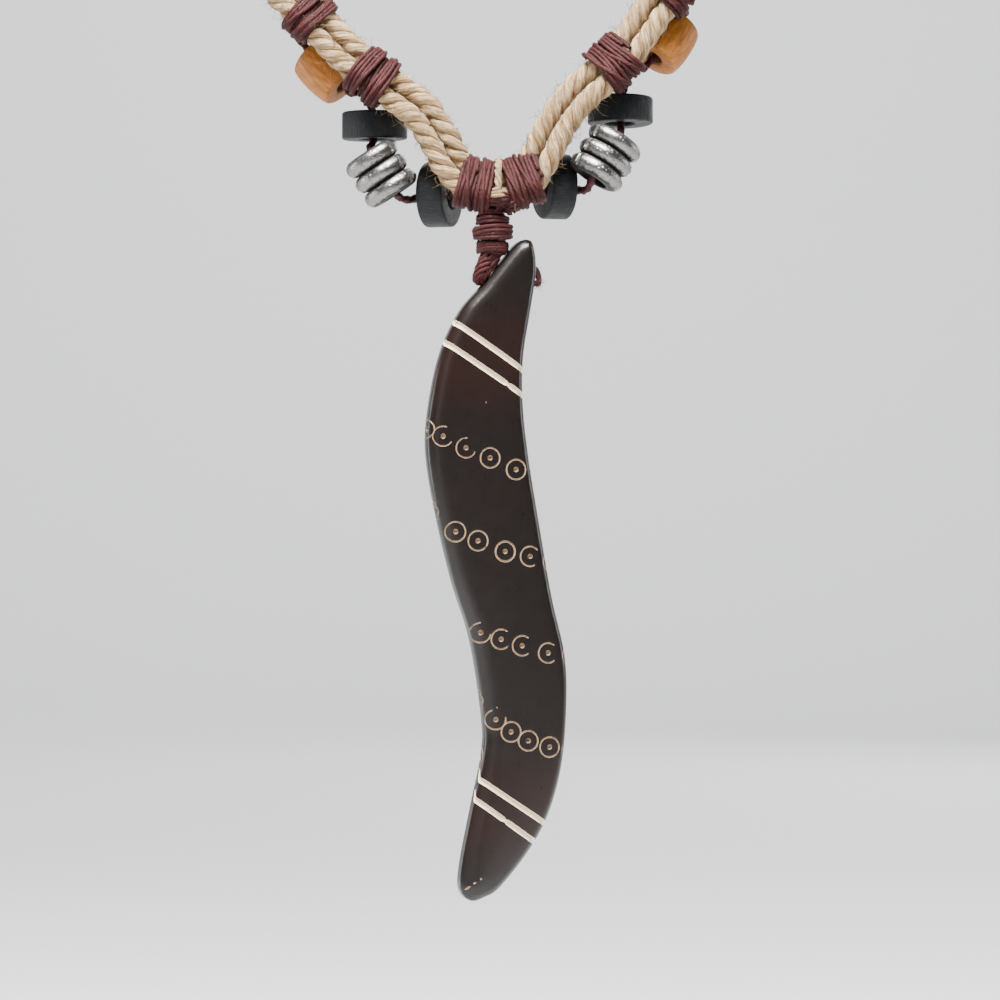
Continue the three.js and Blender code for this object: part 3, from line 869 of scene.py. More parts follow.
class Rig:
    """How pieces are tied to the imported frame."""

    @staticmethod
    def joint(body: str) -> dict:
        """The joint that a body hangs on."""
        return next(joint for joint in frame["joints"] if joint["child"] == body)

    @staticmethod
    def fit(piece: bpy.types.Object, body: str, slot: str, *nodes: str) -> bpy.types.Object:
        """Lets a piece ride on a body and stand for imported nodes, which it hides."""
        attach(piece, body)
        if nodes:
            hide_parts(*nodes)
        LOG.info("%s: %d faces on %s", piece.name, len(piece.data.polygons), body)
        return piece


@dataclass
class RopePair:
    """Two three-ply hemp ropes side by side, with their loose fibres."""

    finish: bpy.types.Material
    diameter: float = 2.5 * MM
    gap: float = 0.3 * MM
    lean: float = math.radians(28)
    lay: float = 6.0 * MM
    ply_radius: float = 0.70 * MM
    ply_offset: float = 0.60 * MM
    ply_sides: int = 14
    step: float = 0.3 * MM
    lobe_lay: float = 5.2 * MM
    lobes: tuple[tuple[int, float], ...] = ((5, 0.05), (3, 0.035))  # ridges round a ply, and their height
    open_air: float = 1.1 * MM  # fibres root further off the rope's middle than this
    shade_from: float = 1.24 * MM
    shade_depth: float = 0.40 * MM
    fibres_per_rope: int = 3600
    spine: Spine = field(init=False)
    lowest: float = field(init=False)

    def __post_init__(self) -> None:
        """Works out the pair's middle line."""
        flat = smooth_through(ROPE_ROUTE, 40)
        points = np.stack([flat[:, 0], np.zeros(len(flat)), flat[:, 1]], axis=1)
        self.spine = Spine(points)
        self.lowest = float(self.spine.marks[LOWEST_POINT * 40])

    @property
    def half_spacing(self) -> float:
        """Half the distance between the two ropes' middles."""
        return (self.diameter + self.gap) / 2

    def belt(self) -> Belt:
        """The line round both ropes."""
        return Belt(self.spine, self.half_spacing, self.lean)

    def middle(self, side: float, distance: np.ndarray) -> tuple[np.ndarray, np.ndarray, np.ndarray]:
        """One rope's middle line and the directions across it: side is 1 for outer, -1 for inner."""
        centre, outward, _ = self.spine.frames(distance)
        depth = np.broadcast_to(DEPTH_WAY, centre.shape)
        shift = math.cos(self.lean) * outward - math.sin(self.lean) * depth
        return centre + side * self.half_spacing * shift, outward, depth

    def build(self) -> None:
        """Makes both ropes and the fibres that stand out of them."""
        fibres = StrandMesh()
        for seed, (name, side) in enumerate((("outer", 1.0), ("inner", -1.0))):
            self._rope(name, side, seed, fibres)
        fuzz = fibres.build("rope_fibres", self.finish)
        Rig.fit(fuzz, "necklace", "hemp")

    def _rope(self, name: str, side: float, seed: int, fibres: StrandMesh) -> None:
        """Makes one rope and adds its loose fibres to theirs.

        Args:
            name: outer or inner.
            side: 1 for outer, -1 for inner.
            seed: the seed of its unevenness.
            fibres: where its loose fibres go.
        """
        rng = np.random.default_rng(40 + seed)
        distance = np.arange(0, self.spine.length, self.step)
        middle, outward, depth = self.middle(side, distance)
        rope = StrandMesh()
        roots, ways, runs = [], [], []
        angles = np.arange(self.ply_sides) * math.tau / self.ply_sides
        for ply in range(3):
            turn = math.tau * (ply / 3 - distance / self.lay + 0.2 * seed)
            turn = turn + 0.18 * wander(rng, len(distance), 30)
            way = np.cos(turn)[:, None] * outward + np.sin(turn)[:, None] * depth
            path = middle + self.ply_offset * (1 + 0.08 * wander(rng, len(distance), 16))[:, None] * way
            swell = 1 + 0.07 * wander(rng, len(distance), 14)
            radii = self.ply_radius * np.repeat(swell[:, None], self.ply_sides, axis=1)
            for lobes, height in self.lobes:
                phase = lobes * angles[None] + (distance / self.lobe_lay * math.tau)[:, None]
                radii = radii * (1 + height * np.cos(phase + rng.uniform(0, 6)))
            radii = radii * (1 + 0.03 * rng.normal(size=radii.shape))
            spread = round_about(angles, *StrandMesh.cross_frames(path))
            surface = path[:, None] + radii[:, :, None] * spread
            reach = np.linalg.norm(surface - middle[:, None], axis=2)
            rope.add(path, radii, np.clip((self.shade_from - reach) / self.shade_depth, 0, 1))
            open_air = reach > self.open_air
            roots.append(surface[open_air])
            ways.append(((surface - middle[:, None]) / reach[:, :, None])[open_air])
            along = unit(np.gradient(path, axis=0))
            runs.append(np.repeat(along[:, None], self.ply_sides, axis=1)[open_air])
        piece = rope.build(f"{name}_hemp_rope", self.finish)
        Rig.fit(piece, "necklace", "hemp", f"{name}_rope")
        middle[::4].tolist() + [middle[-1].tolist()]
        Fuzz(60 + seed).grow(
            fibres, np.vstack(roots), np.vstack(ways), np.vstack(runs), self.fibres_per_rope
        )


@dataclass(frozen=True)
class Layer:
    """One layer of a winding: where it starts and ends, and how many turns it makes."""

    start: float
    end: float
    turns: int
    rise: float
    tilt: float = 0.0


@dataclass
class Winding:
    """Thread wound by hand round a pair of cores."""

    name: str
    body: str
    nodes: tuple[str, ...]
    belt: Belt
    core: float
    layers: tuple[Layer, ...]
    seed: int
    finish: bpy.types.Material
    slot: str = "maroon_thread"
    yarn: Yarn = Yarn(0.56 * MM)
    points_per_turn: int = 44
    fibres: int = 60
    looseness: float = 0.10
    shade_depth: float = 0.5 * MM

    def build(self) -> bpy.types.Object:
        """Winds every layer and adds loose fibres."""
        rng = np.random.default_rng(self.seed)
        mesh = StrandMesh()
        roots, ways, runs = [], [], []
        for layer in self.layers:
            count = max(8, int(layer.turns * self.points_per_turn))
            share = np.linspace(0, 1, count)
            turns = layer.turns * share + rng.random()
            slant = layer.tilt * np.cos(math.tau * turns + rng.uniform(-0.5, 0.5))
            drift = self.looseness * self.yarn.diameter * 2.2 * wander(rng, count, 13)
            distance = layer.start + (layer.end - layer.start) * share + slant + drift
            reach = self.core + layer.rise + self.looseness * self.yarn.diameter * wander(rng, count, 9)
            reach = np.maximum(reach, 0.05 * MM)
            path = self.belt.points(distance, turns, reach)
            radii = self.yarn.radii(path, rng)
            # painted shade: in a winding of several layers, turns nearer the core, under the others, are
            # painted darker
            low = self.core + min(other.rise for other in self.layers)
            deep = np.clip(1 - (reach - low) / self.shade_depth, 0, 1)[:, None] * (len(self.layers) > 1)
            mesh.add(path, radii, np.repeat(0.75 * deep, self.yarn.sides, axis=1))
            roots.append(path)
            ways.append(unit(path - self.belt.spine.frames(distance)[0]))
            runs.append(unit(np.gradient(path, axis=0)))
        if self.fibres:
            Fuzz(self.seed + 500, thickness=FINE_FIBRE, shortest=0.4 * MM, longest=1.7 * MM).grow(
                mesh, np.vstack(roots), np.vstack(ways), np.vstack(runs), self.fibres
            )
        piece = mesh.build(self.name, self.finish)
        return Rig.fit(piece, self.body, self.slot, *self.nodes)


class Side(Enum):
    """Left and right as seen from the front, with the sign of X."""

    LEFT = -1
    RIGHT = 1

    @property
    def word(self) -> str:
        """The side's name in piece names."""
        return self.name.lower()


@dataclass
class RopeBindings:
    """The maroon bindings that hold the two ropes together."""

    ropes: RopePair
    finish: bpy.types.Material
    centre_at: float = 3.05 * MM
    centre_length: float = 4.7 * MM
    middle_at: float = 21.4 * MM
    middle_length: float = 4.8 * MM
    upper_at: float = 32.2 * MM
    upper_length: float = 3.8 * MM
    end_length: float = 11.0 * MM
    end_depth: float = 7.0 * MM
    levelling: float = 0.9
    margin: float = 0.28 * MM
    groove: float = 0.64 * MM
    under_rise: float = 0.26 * MM
    band_rise: float = 0.60 * MM
    top_rise: float = 0.78 * MM
    tilt: float = 0.35 * MM
    centre_tilt: float = 0.2 * MM

    def build(self) -> None:
        """Winds the four bindings of each side."""
        for side in Side:
            for place, at, length in (
                ("centre", self.centre_at, self.centre_length),
                ("middle", self.middle_at, self.middle_length),
                ("upper", self.upper_at, self.upper_length),
            ):
                self._banded(side, place, self.ropes.lowest + side.value * at, length)
            if side is Side.LEFT:
                middle = self.end_depth - self.end_length / 2
            else:
                middle = self.ropes.spine.length - self.end_depth + self.end_length / 2
            self._close_wound(side, middle)

    def _banded(self, side: Side, place: str, at: float, length: float) -> None:
        """A short binding: an under layer, and two proud bands with a groove between them.

        Args:
            side: left or right.
            place: centre, middle or upper.
            at: its middle, along the ropes.
            length: its length.
        """
        half = length / 2
        belt = self.ropes.belt()
        tilt = self.tilt * side.value
        if place == "centre":
            belt = self._level_belt(at, half)
            at = half
            tilt = self.centre_tilt
        low, high = at - half, at + half
        layers = (
            Layer(low + 0.2 * MM, high - 0.2 * MM, 9, self.under_rise, tilt),
            Layer(low + self.margin, at - self.groove / 2, 4, self.band_rise, tilt),
            Layer(at + self.groove / 2, high - self.margin, 4, self.band_rise, -0.4 * tilt),
            Layer(low + 0.5 * MM, high - 0.5 * MM, 2, self.top_rise, -1.5 * tilt),
        )
        Winding(
            f"{side.word}_{place}_wrap", "necklace", (f"{side.word}_{place}_binding",), belt,
            self.ropes.diameter / 2, layers, 100 + 10 * side.value + len(place), self.finish,
        ).build()

    def _level_belt(self, at: float, half: float) -> Belt:
        """The line round both ropes where they bend sharply, on a straight and more level axis.

        Args:
            at: the middle of the winding, along the ropes.
            half: half its length.

        Returns:
            The belt, whose distances start at the winding's left end.
        """
        centre, _, tangent = self.ropes.spine.frames(np.array([at]))
        way = tangent[0] + np.array([self.levelling, 0.0, 0.0])
        way /= np.linalg.norm(way)
        spine = Spine(np.linspace(centre[0] - way * half, centre[0] + way * half, 12))
        return Belt(spine, self.ropes.half_spacing, self.ropes.lean)

    def _close_wound(self, side: Side, at: float) -> None:
        """The long binding over the ropes' ends, of one close layer over another."""
        low = at - self.end_length / 2 + 0.3 * MM
        high = at + self.end_length / 2 - 0.3 * MM
        layers = (Layer(low, high, 22, self.under_rise), Layer(high, low, 21, 0.62 * MM))
        Winding(
            f"{side.word}_end_wrap", "necklace", (f"{side.word}_end_binding",), self.ropes.belt(),
            self.ropes.diameter / 2, layers, 150 + side.value, self.finish, points_per_turn=30, fibres=40,
            looseness=0.06,
        ).build()


@dataclass
class Closing:
    """Two waxed cords that slide through each other's barrel knots to set the loop's size."""

    finish: bpy.types.Material
    diameter: float = 1.5 * MM
    knot_at: tuple[float, float] = (20.0 * MM, -29.5 * MM)
    knot_run: tuple[float, float] = (6.0, -10.75)
    knot_length: float = 9.0 * MM
    knot_yarn: Yarn = Yarn(1.12 * MM, sides=12, lobes=3, lobe_depth=0.09, twist=-3.0 * MM)
    stopper_radius: float = 1.35 * MM
    stopper_scale: float = 0.28 * MM
    stopper_yarn: Yarn = Yarn(1.05 * MM, sides=12, lobes=3, lobe_depth=0.08, twist=-3.0 * MM)
    fit_gap: float = 0.3 * MM

    def build(self) -> None:
        """Makes both cords with their end knots, and both sliding knots."""
        for side in Side:
            stopper, cord, middle = self._cord(side)
            self._sliding_knot(side)

    def _cord(self, side: Side) -> tuple[bpy.types.Object, bpy.types.Object, np.ndarray]:
        """One three-ply cord and its end knot.

        Args:
            side: the side whose ropes it comes out of.

        Returns:
            The knot, the cord and the cord's middle line.
        """
        flip = np.array([-side.value, -side.value, 1.0])
        middle = smooth_through(CORD_ROUTE, 24) * flip
        rng = np.random.default_rng(200 + side.value)
        yarn = Yarn(self.diameter, sides=15, lobes=3, lobe_depth=0.09, twist=-3.6 * MM)
        strand = StrandMesh()
        fine = Spine(middle)
        path = fine.frames(np.arange(0, fine.length, 0.3 * MM))[0]
        strand.add(path, yarn.radii(path, rng, 0.02))
        cord = strand.build(f"{side.word}_waxed_cord", self.finish)
        Rig.fit(cord, "necklace", "waxed_cord", f"{side.word}_closing_cord")
        return self._end_knot(side, middle, rng), cord, middle

    def _end_knot(self, side: Side, middle: np.ndarray, rng: np.random.Generator) -> bpy.types.Object:
        """A tight overhand knot past the end of a cord."""
        along = middle[-1] - middle[-2]
        along /= np.linalg.norm(along)
        centre = middle[-1] + along * (self.stopper_radius + self.fit_gap)
        turn = np.linspace(0, math.tau, 90)
        loop = np.stack([
            np.sin(turn) + 2 * np.sin(2 * turn),
            np.cos(turn) - 2 * np.cos(2 * turn),
            -1.7 * np.sin(3 * turn),
        ], axis=1) * self.stopper_scale
        lie = np.array(Vector((0, 0, 1)).rotation_difference(Vector(along)).to_matrix())
        mesh = StrandMesh()
        stub = centre + np.linspace(-1.0, 1.35, 12)[:, None] * along * self.stopper_radius
        for path in (loop @ lie.T + centre, stub):
            mesh.add(path, self.stopper_yarn.radii(path, rng, 0.02))
        knot = mesh.build(f"{side.word}_overhand_knot", self.finish)
        return Rig.fit(knot, "necklace", "waxed_cord", f"{side.word}_end_knot")

    def _sliding_knot(self, side: Side) -> None:
        """A barrel knot of close turns round both cords."""
        run = Vector((side.value * self.knot_run[0], 0, self.knot_run[1])).normalized()
        centre = Vector((side.value * self.knot_at[0], 0, self.knot_at[1]))
        ends = [np.array(centre + run * self.knot_length * share) for share in (-0.5, 0.5)]
        spine = Spine(np.linspace(ends[0], ends[1], 20))
        margin = 0.6 * MM
        layers = (Layer(margin, self.knot_length - margin, 7, 0.62 * MM, 0.18 * MM),)
        Winding(
            f"{side.word}_barrel_knot", f"{side.word}_slider", (f"{side.word}_sliding_knot",),
            Belt(spine, CORD_OFFSET, math.radians(90)), self.diameter / 2, layers, 230 + side.value,
            self.finish, slot="waxed_cord", yarn=self.knot_yarn, fibres=10, looseness=0.03,
        ).build()


@dataclass
class BeadStrings:
    """The maroon strings that carry the beads."""

    finish: bpy.types.Material
    diameter: float = 1.0 * MM

    def build(self) -> None:
        """Makes each string with two plies and a few loose fibres."""
        for seed, (name, route) in enumerate(BEAD_STRINGS.items()):
            rng = np.random.default_rng(300 + seed)
            path = smooth_through(route, 14)
            mesh = StrandMesh()
            yarn = Yarn(self.diameter, sides=10, lobe_depth=0.16, twist=3.2 * MM)
            mesh.add(path, yarn.radii(path, rng))
            along, away = loose_ways(path, rng)
            Fuzz(320 + seed, thickness=FINE_FIBRE, longest=1.3 * MM).grow(mesh, path, away, along, 18)
            piece = mesh.build(name.replace("thread", "string"), self.finish)
            Rig.fit(piece, "necklace", "maroon_thread", name)


@dataclass
class Bail:
    """The wound stalk under the ropes, its strand through the pendant, and the twine over the ropes."""

    finish: bpy.types.Material
    twine: bpy.types.Material
    ropes: RopePair
    core: float = 1.3 * MM
    strand_threads: int = 7
    back_reach: float = 4.7 * MM
    front_threads: int = 5
    twine_diameter: float = 0.7 * MM
    fit_gap: float = 0.3 * MM

    # How thick the strand's bundle and its threads are by the share of the way along it, in millimetres.
    bundle: tuple[tuple[float, ...], tuple[float, ...]] = (
        (0, 0.1, 0.2, 0.27, 0.55, 0.62, 1.0), (0.8, 0.72, 0.42, 0.26, 0.2, 0.2, 0.4),
    )
    thinning: tuple[tuple[float, ...], tuple[float, ...]] = ((0, 0.2, 0.3, 1.0), (0.62, 0.50, 0.34, 0.38))
    # The threads beside the pendant's edge: from under the stalk to the hole's mouth, from the hole, in mm.
    inner_route: tuple[Triple, ...] = (
        (-0.2, -0.6, 3.7), (-0.55, -0.8, 3.0), (-1.0, -0.95, 2.1), (-1.6, -1.0, 1.2), (-2.2, -0.8, 0.45),
        (-2.1, -0.5, 0.05), (-1.2, -0.25, 0.0),
    )
    # The knots of the lashing: top, foot, core and turns, in millimetres.
    knots: tuple[tuple[Triple, Triple, float, int], ...] = (
        ((0.0, -2.0, -176.8), (-0.4, -1.4, -178.3), 0.95, 5),
        ((1.35, -1.6, -177.5), (1.6, -1.3, -178.9), 0.46, 4),
        ((0.35, -2.5, -177.3), (0.2, -2.3, -178.2), 0.30, 3),
    )
    # Each band of the stalk: start and end below its top, turns, how proud it is, and its slant.
    bands: tuple[tuple[float, float, int, float, float], ...] = (
        (-0.75, -0.1, 2, 0.28, 0.10), (0.35, 1.05, 2, 0.52, -0.14), (1.5, 2.95, 4, 0.80, 0.20),
        (1.7, 2.7, 2, 0.94, -0.25), (3.35, 4.6, 4, 0.45, -0.10),
    )

    def build(self) -> None:
        """Makes the stalk, the lashing above it, the strand and the twine."""
        self._stalk()
        self._lashing()
        self._strand()
        self._twine_loop()

    def _lashing(self) -> None:
        """Small knots of thread under the ropes, where the stalk is tied to the twine."""
        mesh = StrandMesh()
        rng = np.random.default_rng(470)
        for top, foot, core, turns in self.knots:
            spine = Spine(np.linspace(np.array(top) * MM, np.array(foot) * MM, 16))
            for rise in (0.0, 0.42):
                share = np.linspace(0, 1, 40 * turns)
                swell = core + rise - 0.35 * (2 * share - 1) ** 2
                reach = np.maximum(swell + 0.06 * wander(rng, len(share), 11), 0.08) * MM
                run = spine.length * share + 0.2 * MM * np.cos(math.tau * turns * share + rise)
                path = Belt(spine, 0.0, 0.0).points(run, turns * share + rise, reach)
                # painted shade: the whole lashing is painted partly dark, as it hangs in shade under the
                # ropes
                mesh.add(path, Yarn(0.52 * MM).radii(path, rng), 0.55)
        Rig.fit(mesh.build("bail_lashing", self.finish), "necklace", "maroon_thread")

    def _stalk(self) -> None:
        """Bands of thread over two close layers."""
        low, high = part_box("bail_binding")
        middle = (low + high) / 2
        top = np.array([middle.x, middle.y, high.z])
        bottom = np.array([middle.x, middle.y, low.z])
        spine = Spine(np.linspace(top, bottom, 24))
        belt = Belt(spine, 0.0, 0.0)
        height = spine.length
        layers = [
            Layer(-0.7 * MM, height - 0.2 * MM, 11, -0.35 * MM, 0.1 * MM),
            Layer(height - 0.2 * MM, -0.3 * MM, 10, 0.05 * MM, 0.1 * MM),
        ]
        for start, end, turns, rise, tilt in self.bands:
            layers.append(Layer(start * MM, end * MM, turns, rise * MM, tilt * MM))
        stalk = Winding(
            "bail_wraps", "bail", ("bail_binding",), belt, self.core, tuple(layers), 401, self.finish,
            yarn=Yarn(0.54 * MM), fibres=90,
        ).build()
        LOG.info("%s: %.1f mm tall", stalk.name, height / MM)

    def _strand(self) -> None:
        """Threads laid together, thick at the bail and drawn thin through the hole."""
        hole = np.array([0.0, 0.0, Rig.joint("pendant")["pos_m"][2]])
        route = np.array(STRAND_ROUTE) + hole
        route[:, 0] = np.minimum(route[:, 0], self.back_reach)
        middle = Spine(smooth_through(route, 14))
        start = middle.points[0] + np.array([0.5, 0.1, 1.3]) * MM
        end = middle.points[-1] + np.array([0.2, 0.0, 0.9]) * MM
        whole = smooth_through([start, *middle.points[::5], end], 4)
        share = np.linspace(0, 1, len(whole))
        spread = np.interp(share, *self.bundle) * MM
        rng = np.random.default_rng(430)
        first, second = StrandMesh.cross_frames(whole)
        mesh = StrandMesh()
        for thread in range(self.strand_threads):
            turn = math.tau * (thread / self.strand_threads + 2.6 * share)
            path = whole + spread[:, None] * (np.cos(turn)[:, None] * first + np.sin(turn)[:, None] * second)
            thickness = np.interp(share, *self.thinning) * MM
            mesh.add(path, Yarn(1.0).radii(path, rng) * thickness[:, None])
        inner = smooth_through(np.array(self.inner_route) * MM + hole, 12)
        apart = np.linspace(0.42, 0.12, len(inner)) * MM
        across, deep = StrandMesh.cross_frames(inner)
        for thread in range(self.front_threads):
            turn = math.tau * (thread / self.front_threads + 0.7 * np.linspace(0, 1, len(inner)))
            path = inner + apart[:, None] * (np.cos(turn)[:, None] * across + np.sin(turn)[:, None] * deep)
            mesh.add(path, Yarn(0.5 * MM).radii(path, rng))
        along, away = loose_ways(whole, rng)
        roots = whole + away * spread[:, None]
        fuzz = Fuzz(431, thickness=FINE_FIBRE, shortest=0.5 * MM, longest=1.6 * MM)
        fuzz.grow(mesh, roots, away, along, 70)
        mouth = slice(int(0.5 * len(whole)), int(0.6 * len(whole)))
        fuzz.grow(mesh, roots[mouth], away[mouth], along[mouth], 30)
        Rig.fit(mesh.build("pendant_strand", self.finish), "bail", "maroon_thread", "bail_strand")

    def _twine_loop(self) -> None:
        """Hemp twine over both ropes between the centre bindings, with a turned foot in front."""
        low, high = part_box("bail_loop")
        across = (low.x + high.x) / 2
        middle = ROPE_ROUTE[LOWEST_POINT][1]
        half = self.ropes.half_spacing
        lean = self.ropes.lean
        reach = half * math.sin(lean) + self.ropes.diameter / 2 + self.fit_gap + 0.7 * self.twine_diameter
        crown = half * math.cos(lean) + self.ropes.diameter / 2 + self.fit_gap + self.twine_diameter / 2
        arch = [
            (-0.9 * reach, -0.4 * crown), (-reach, -0.15 * crown), (-reach, 0.2 * crown),
            (-0.75 * reach, 0.82 * crown), (0.0, crown + 0.2 * MM), (0.75 * reach, crown),
            (reach, 0.25 * crown), (reach, -0.4 * crown), (0.72 * reach, -0.9 * crown),
        ]
        path = smooth_through([(across, y, middle + z) for y, z in arch], 14)
        rng = np.random.default_rng(450)
        mesh = StrandMesh()
        first, second = StrandMesh.cross_frames(path)
        run = run_along(path)
        for ply in range(3):
            turn = math.tau * (ply / 3 - run / (3.2 * MM))
            ply_path = path + 0.22 * MM * (np.cos(turn)[:, None] * first + np.sin(turn)[:, None] * second)
            mesh.add(ply_path, Yarn(0.5 * MM).radii(ply_path, rng))
        foot_top = np.array([across, -reach, middle + 0.02 * crown])
        foot = Spine(np.linspace(foot_top, foot_top - np.array([0, 0, 1.2 * MM]), 12))
        share = np.linspace(0, 1, 90)
        collar = Belt(foot, 0.0, 0.0).points(
            0.3 * MM + 0.9 * MM * share, 2.3 * share, 0.52 * MM + 0.2 * MM * share
        )
        mesh.add(collar, Yarn(0.5 * MM).radii(collar, rng))
        along, away = loose_ways(path, rng)
        Fuzz(451, longest=1.3 * MM).grow(mesh, path + 0.3 * MM * away, away, along, 40)
        Rig.fit(mesh.build("bail_twine", self.twine), "necklace", "hemp", "bail_loop")


class BeadShape(Enum):
    """The three kinds of bead, by the word in their joints' names."""

    BARREL = "barrel"
    DISC = "disc"
    RINGS = "rings"


@dataclass
class Beads:
    """Turned wood barrels, black coconut-shell discs and silver ring beads.

    A bead's three sizes are its diameter, its length (one ring's, for a ring bead) and its bore.
    """

    wood: bpy.types.Material
    coco: bpy.types.Material
    silver: bpy.types.Material
    spin_steps: int = 80
    disc: Triple = (8.0 * MM, 3.3 * MM, 3.6 * MM)
    barrel: Triple = (6.8 * MM, 5.8 * MM, 2.2 * MM)
    barrel_end: float = 6.05 * MM
    ring: Triple = (7.1 * MM, 2.1 * MM, 4.0 * MM)
    ring_waist: float = 4.9 * MM
    ring_points: int = 11
    notch_radius: float = 0.5 * MM

    def build(self) -> None:
        """Puts each kind of bead on its string, at its joint."""
        nodes = {
            "left_barrel": "left_wood_barrel", "right_barrel": "right_wood_barrel",
            "left_top_disc": "left_upper_disc", "right_top_disc": "right_upper_disc",
            "left_low_disc": "left_lower_disc", "right_low_disc": "right_lower_disc",
            "left_rings": "left_ring_bead", "right_rings": "right_ring_bead",
        }
        models = {
            BeadShape.BARREL: ("turned_wood", self._barrel()),
            BeadShape.DISC: ("black_coco", self._disc()),
            BeadShape.RINGS: ("antiqued_silver", self._rings()),
        }
        for joint in frame["joints"]:
            body = joint["child"]
            if body not in nodes:
                continue
            shape = next(kind for kind in BeadShape if body.endswith(kind.value))
            slot, model = models[shape]
            bead = model.copy()
            bead.data = model.data.copy()
            bpy.context.scene.collection.objects.link(bead)
            bead.name = bead.data.name = f"{body}_bead"
            self._string(bead, joint)
            Rig.fit(bead, body, slot, nodes[body])
        for _, model in models.values():
            bpy.data.objects.remove(model)

    def _string(self, bead: bpy.types.Object, joint: dict) -> None:
        """Turns a bead's axis to its joint's and moves it there, with its seam to the front and middle."""
        axis = Vector(joint["axis"]).normalized()
        inward = Vector((-math.copysign(0.6, joint["pos_m"][0]), -0.6, 0.5))
        across = (inward - axis * inward.dot(axis)).normalized()
        turn = Matrix((across, axis.cross(across), axis)).transposed().to_4x4()
        bead.data.transform(Matrix.Translation(joint["pos_m"]) @ turn)

    def _turned(self, name: str, section: Sequence[tuple[float, float]], rounding: float,
                finish: bpy.types.Material) -> bpy.types.Object:
        """Spins a section round the bead's axis.

        Args:
            name: the model's name.
            section: radius and height of each corner, in order round the section.
            rounding: how far each corner is rounded off.
            finish: the bead's material.

        Returns:
            The bead about the Z axis, with its attributes not yet set.
        """
        Hand.clear()
        bpy.ops.mesh.primitive_circle_add(vertices=len(section), radius=MM, fill_type="NGON")
        bead = Hand.name(name)
        Hand.set_coords(bead, np.array([(radius, 0.0, height) for radius, height in section]))
        bpy.ops.object.mode_set(mode="EDIT")
        bpy.ops.mesh.select_all(action="SELECT")
        if rounding:
            bpy.ops.mesh.bevel(offset=rounding, segments=4, affect="VERTICES")
            bpy.ops.mesh.select_all(action="SELECT")
        bpy.ops.mesh.delete(type="ONLY_FACE")
        bpy.ops.mesh.select_all(action="SELECT")
        bpy.ops.mesh.spin(steps=self.spin_steps, angle=math.tau, center=(0, 0, 0), axis=(0, 0, 1))
        bpy.ops.mesh.select_all(action="SELECT")
        bpy.ops.mesh.remove_doubles(threshold=0.002 * MM)
        bpy.ops.mesh.normals_make_consistent(inside=False)
        bpy.ops.object.mode_set(mode="OBJECT")
        bead.data.materials.append(finish)
        return bead

    @staticmethod
    def _mark(bead: bpy.types.Object, recess: np.ndarray, edge: np.ndarray) -> None:
        """Stores where each point is on the bead, how hollow it is there, and how near an edge."""
        points = Hand.coords(bead)
        mesh = bead.data
        mesh.attributes.new("turned", "FLOAT_VECTOR", "POINT").data.foreach_set("vector", points.ravel())
        mesh.attributes.new("recess", "FLOAT", "POINT").data.foreach_set("value", np.clip(recess, 0, 1))
        mesh.attributes.new("edge", "FLOAT", "POINT").data.foreach_set("value", np.clip(edge, 0, 1))

    def _disc(self) -> bpy.types.Object:
        """A thick sawn disc with softened edges and a wide bore."""
        outer, half, bore = self.disc[0] / 2, self.disc[1] / 2, self.disc[2] / 2
        section = [(bore, -half), (outer, -half), (outer, half), (bore, half)]
        bead = self._turned("disc_model", section, 0.3 * MM, self.coco)
        points = Hand.coords(bead)
        angle = np.arctan2(points[:, 1], points[:, 0])
        radius = np.hypot(points[:, 0], points[:, 1])
        points[:, :2] *= (1 + 0.007 * np.sin(3 * angle + 1.0) + 0.004 * np.sin(7 * angle))[:, None]
        points[:, 2] += 0.05 * MM * np.sin(angle) * np.sign(points[:, 2]) * radius / outer
        Hand.set_coords(bead, points)
        # the edge value drives the painted grey highlight along the disc's rims and face edges
        near_rim = 1 - np.abs(radius - outer) / (0.45 * MM)
        near_face = 1 - np.abs(np.abs(points[:, 2]) - half) / (0.45 * MM)
        self._mark(bead, (bore * 1.1 - radius) / (0.2 * MM), np.minimum(near_rim, near_face))
        Hand.shade(bead, 40)
        return bead

    def _barrel(self) -> bpy.types.Object:
        """A barrel with a soft belly, rounded shoulders and a drilled bore."""
        belly, half, bore = self.barrel[0] / 2, self.barrel[1] / 2, self.barrel[2] / 2
        end = self.barrel_end / 2
        section = [(bore, -half), (end, -half)]
        for share in (-0.78, -0.45, 0.0, 0.45, 0.78):
            section.append((belly - 0.34 * MM * abs(share) ** 2.2, share * half))
        section += [(end, half), (bore, half)]
        bead = self._turned("barrel_model", section, 0.28 * MM, self.wood)
        points = Hand.coords(bead)
        radius = np.hypot(points[:, 0], points[:, 1])
        # painted shade for the wood: the end faces and the bore are marked to be painted darker
        on_end = (np.abs(points[:, 2]) > half - 0.12 * MM) * 0.55
        self._mark(bead, on_end + (bore + 0.25 * MM - radius) / (0.3 * MM), radius * 0)
        Hand.shade(bead, 40)
        return bead

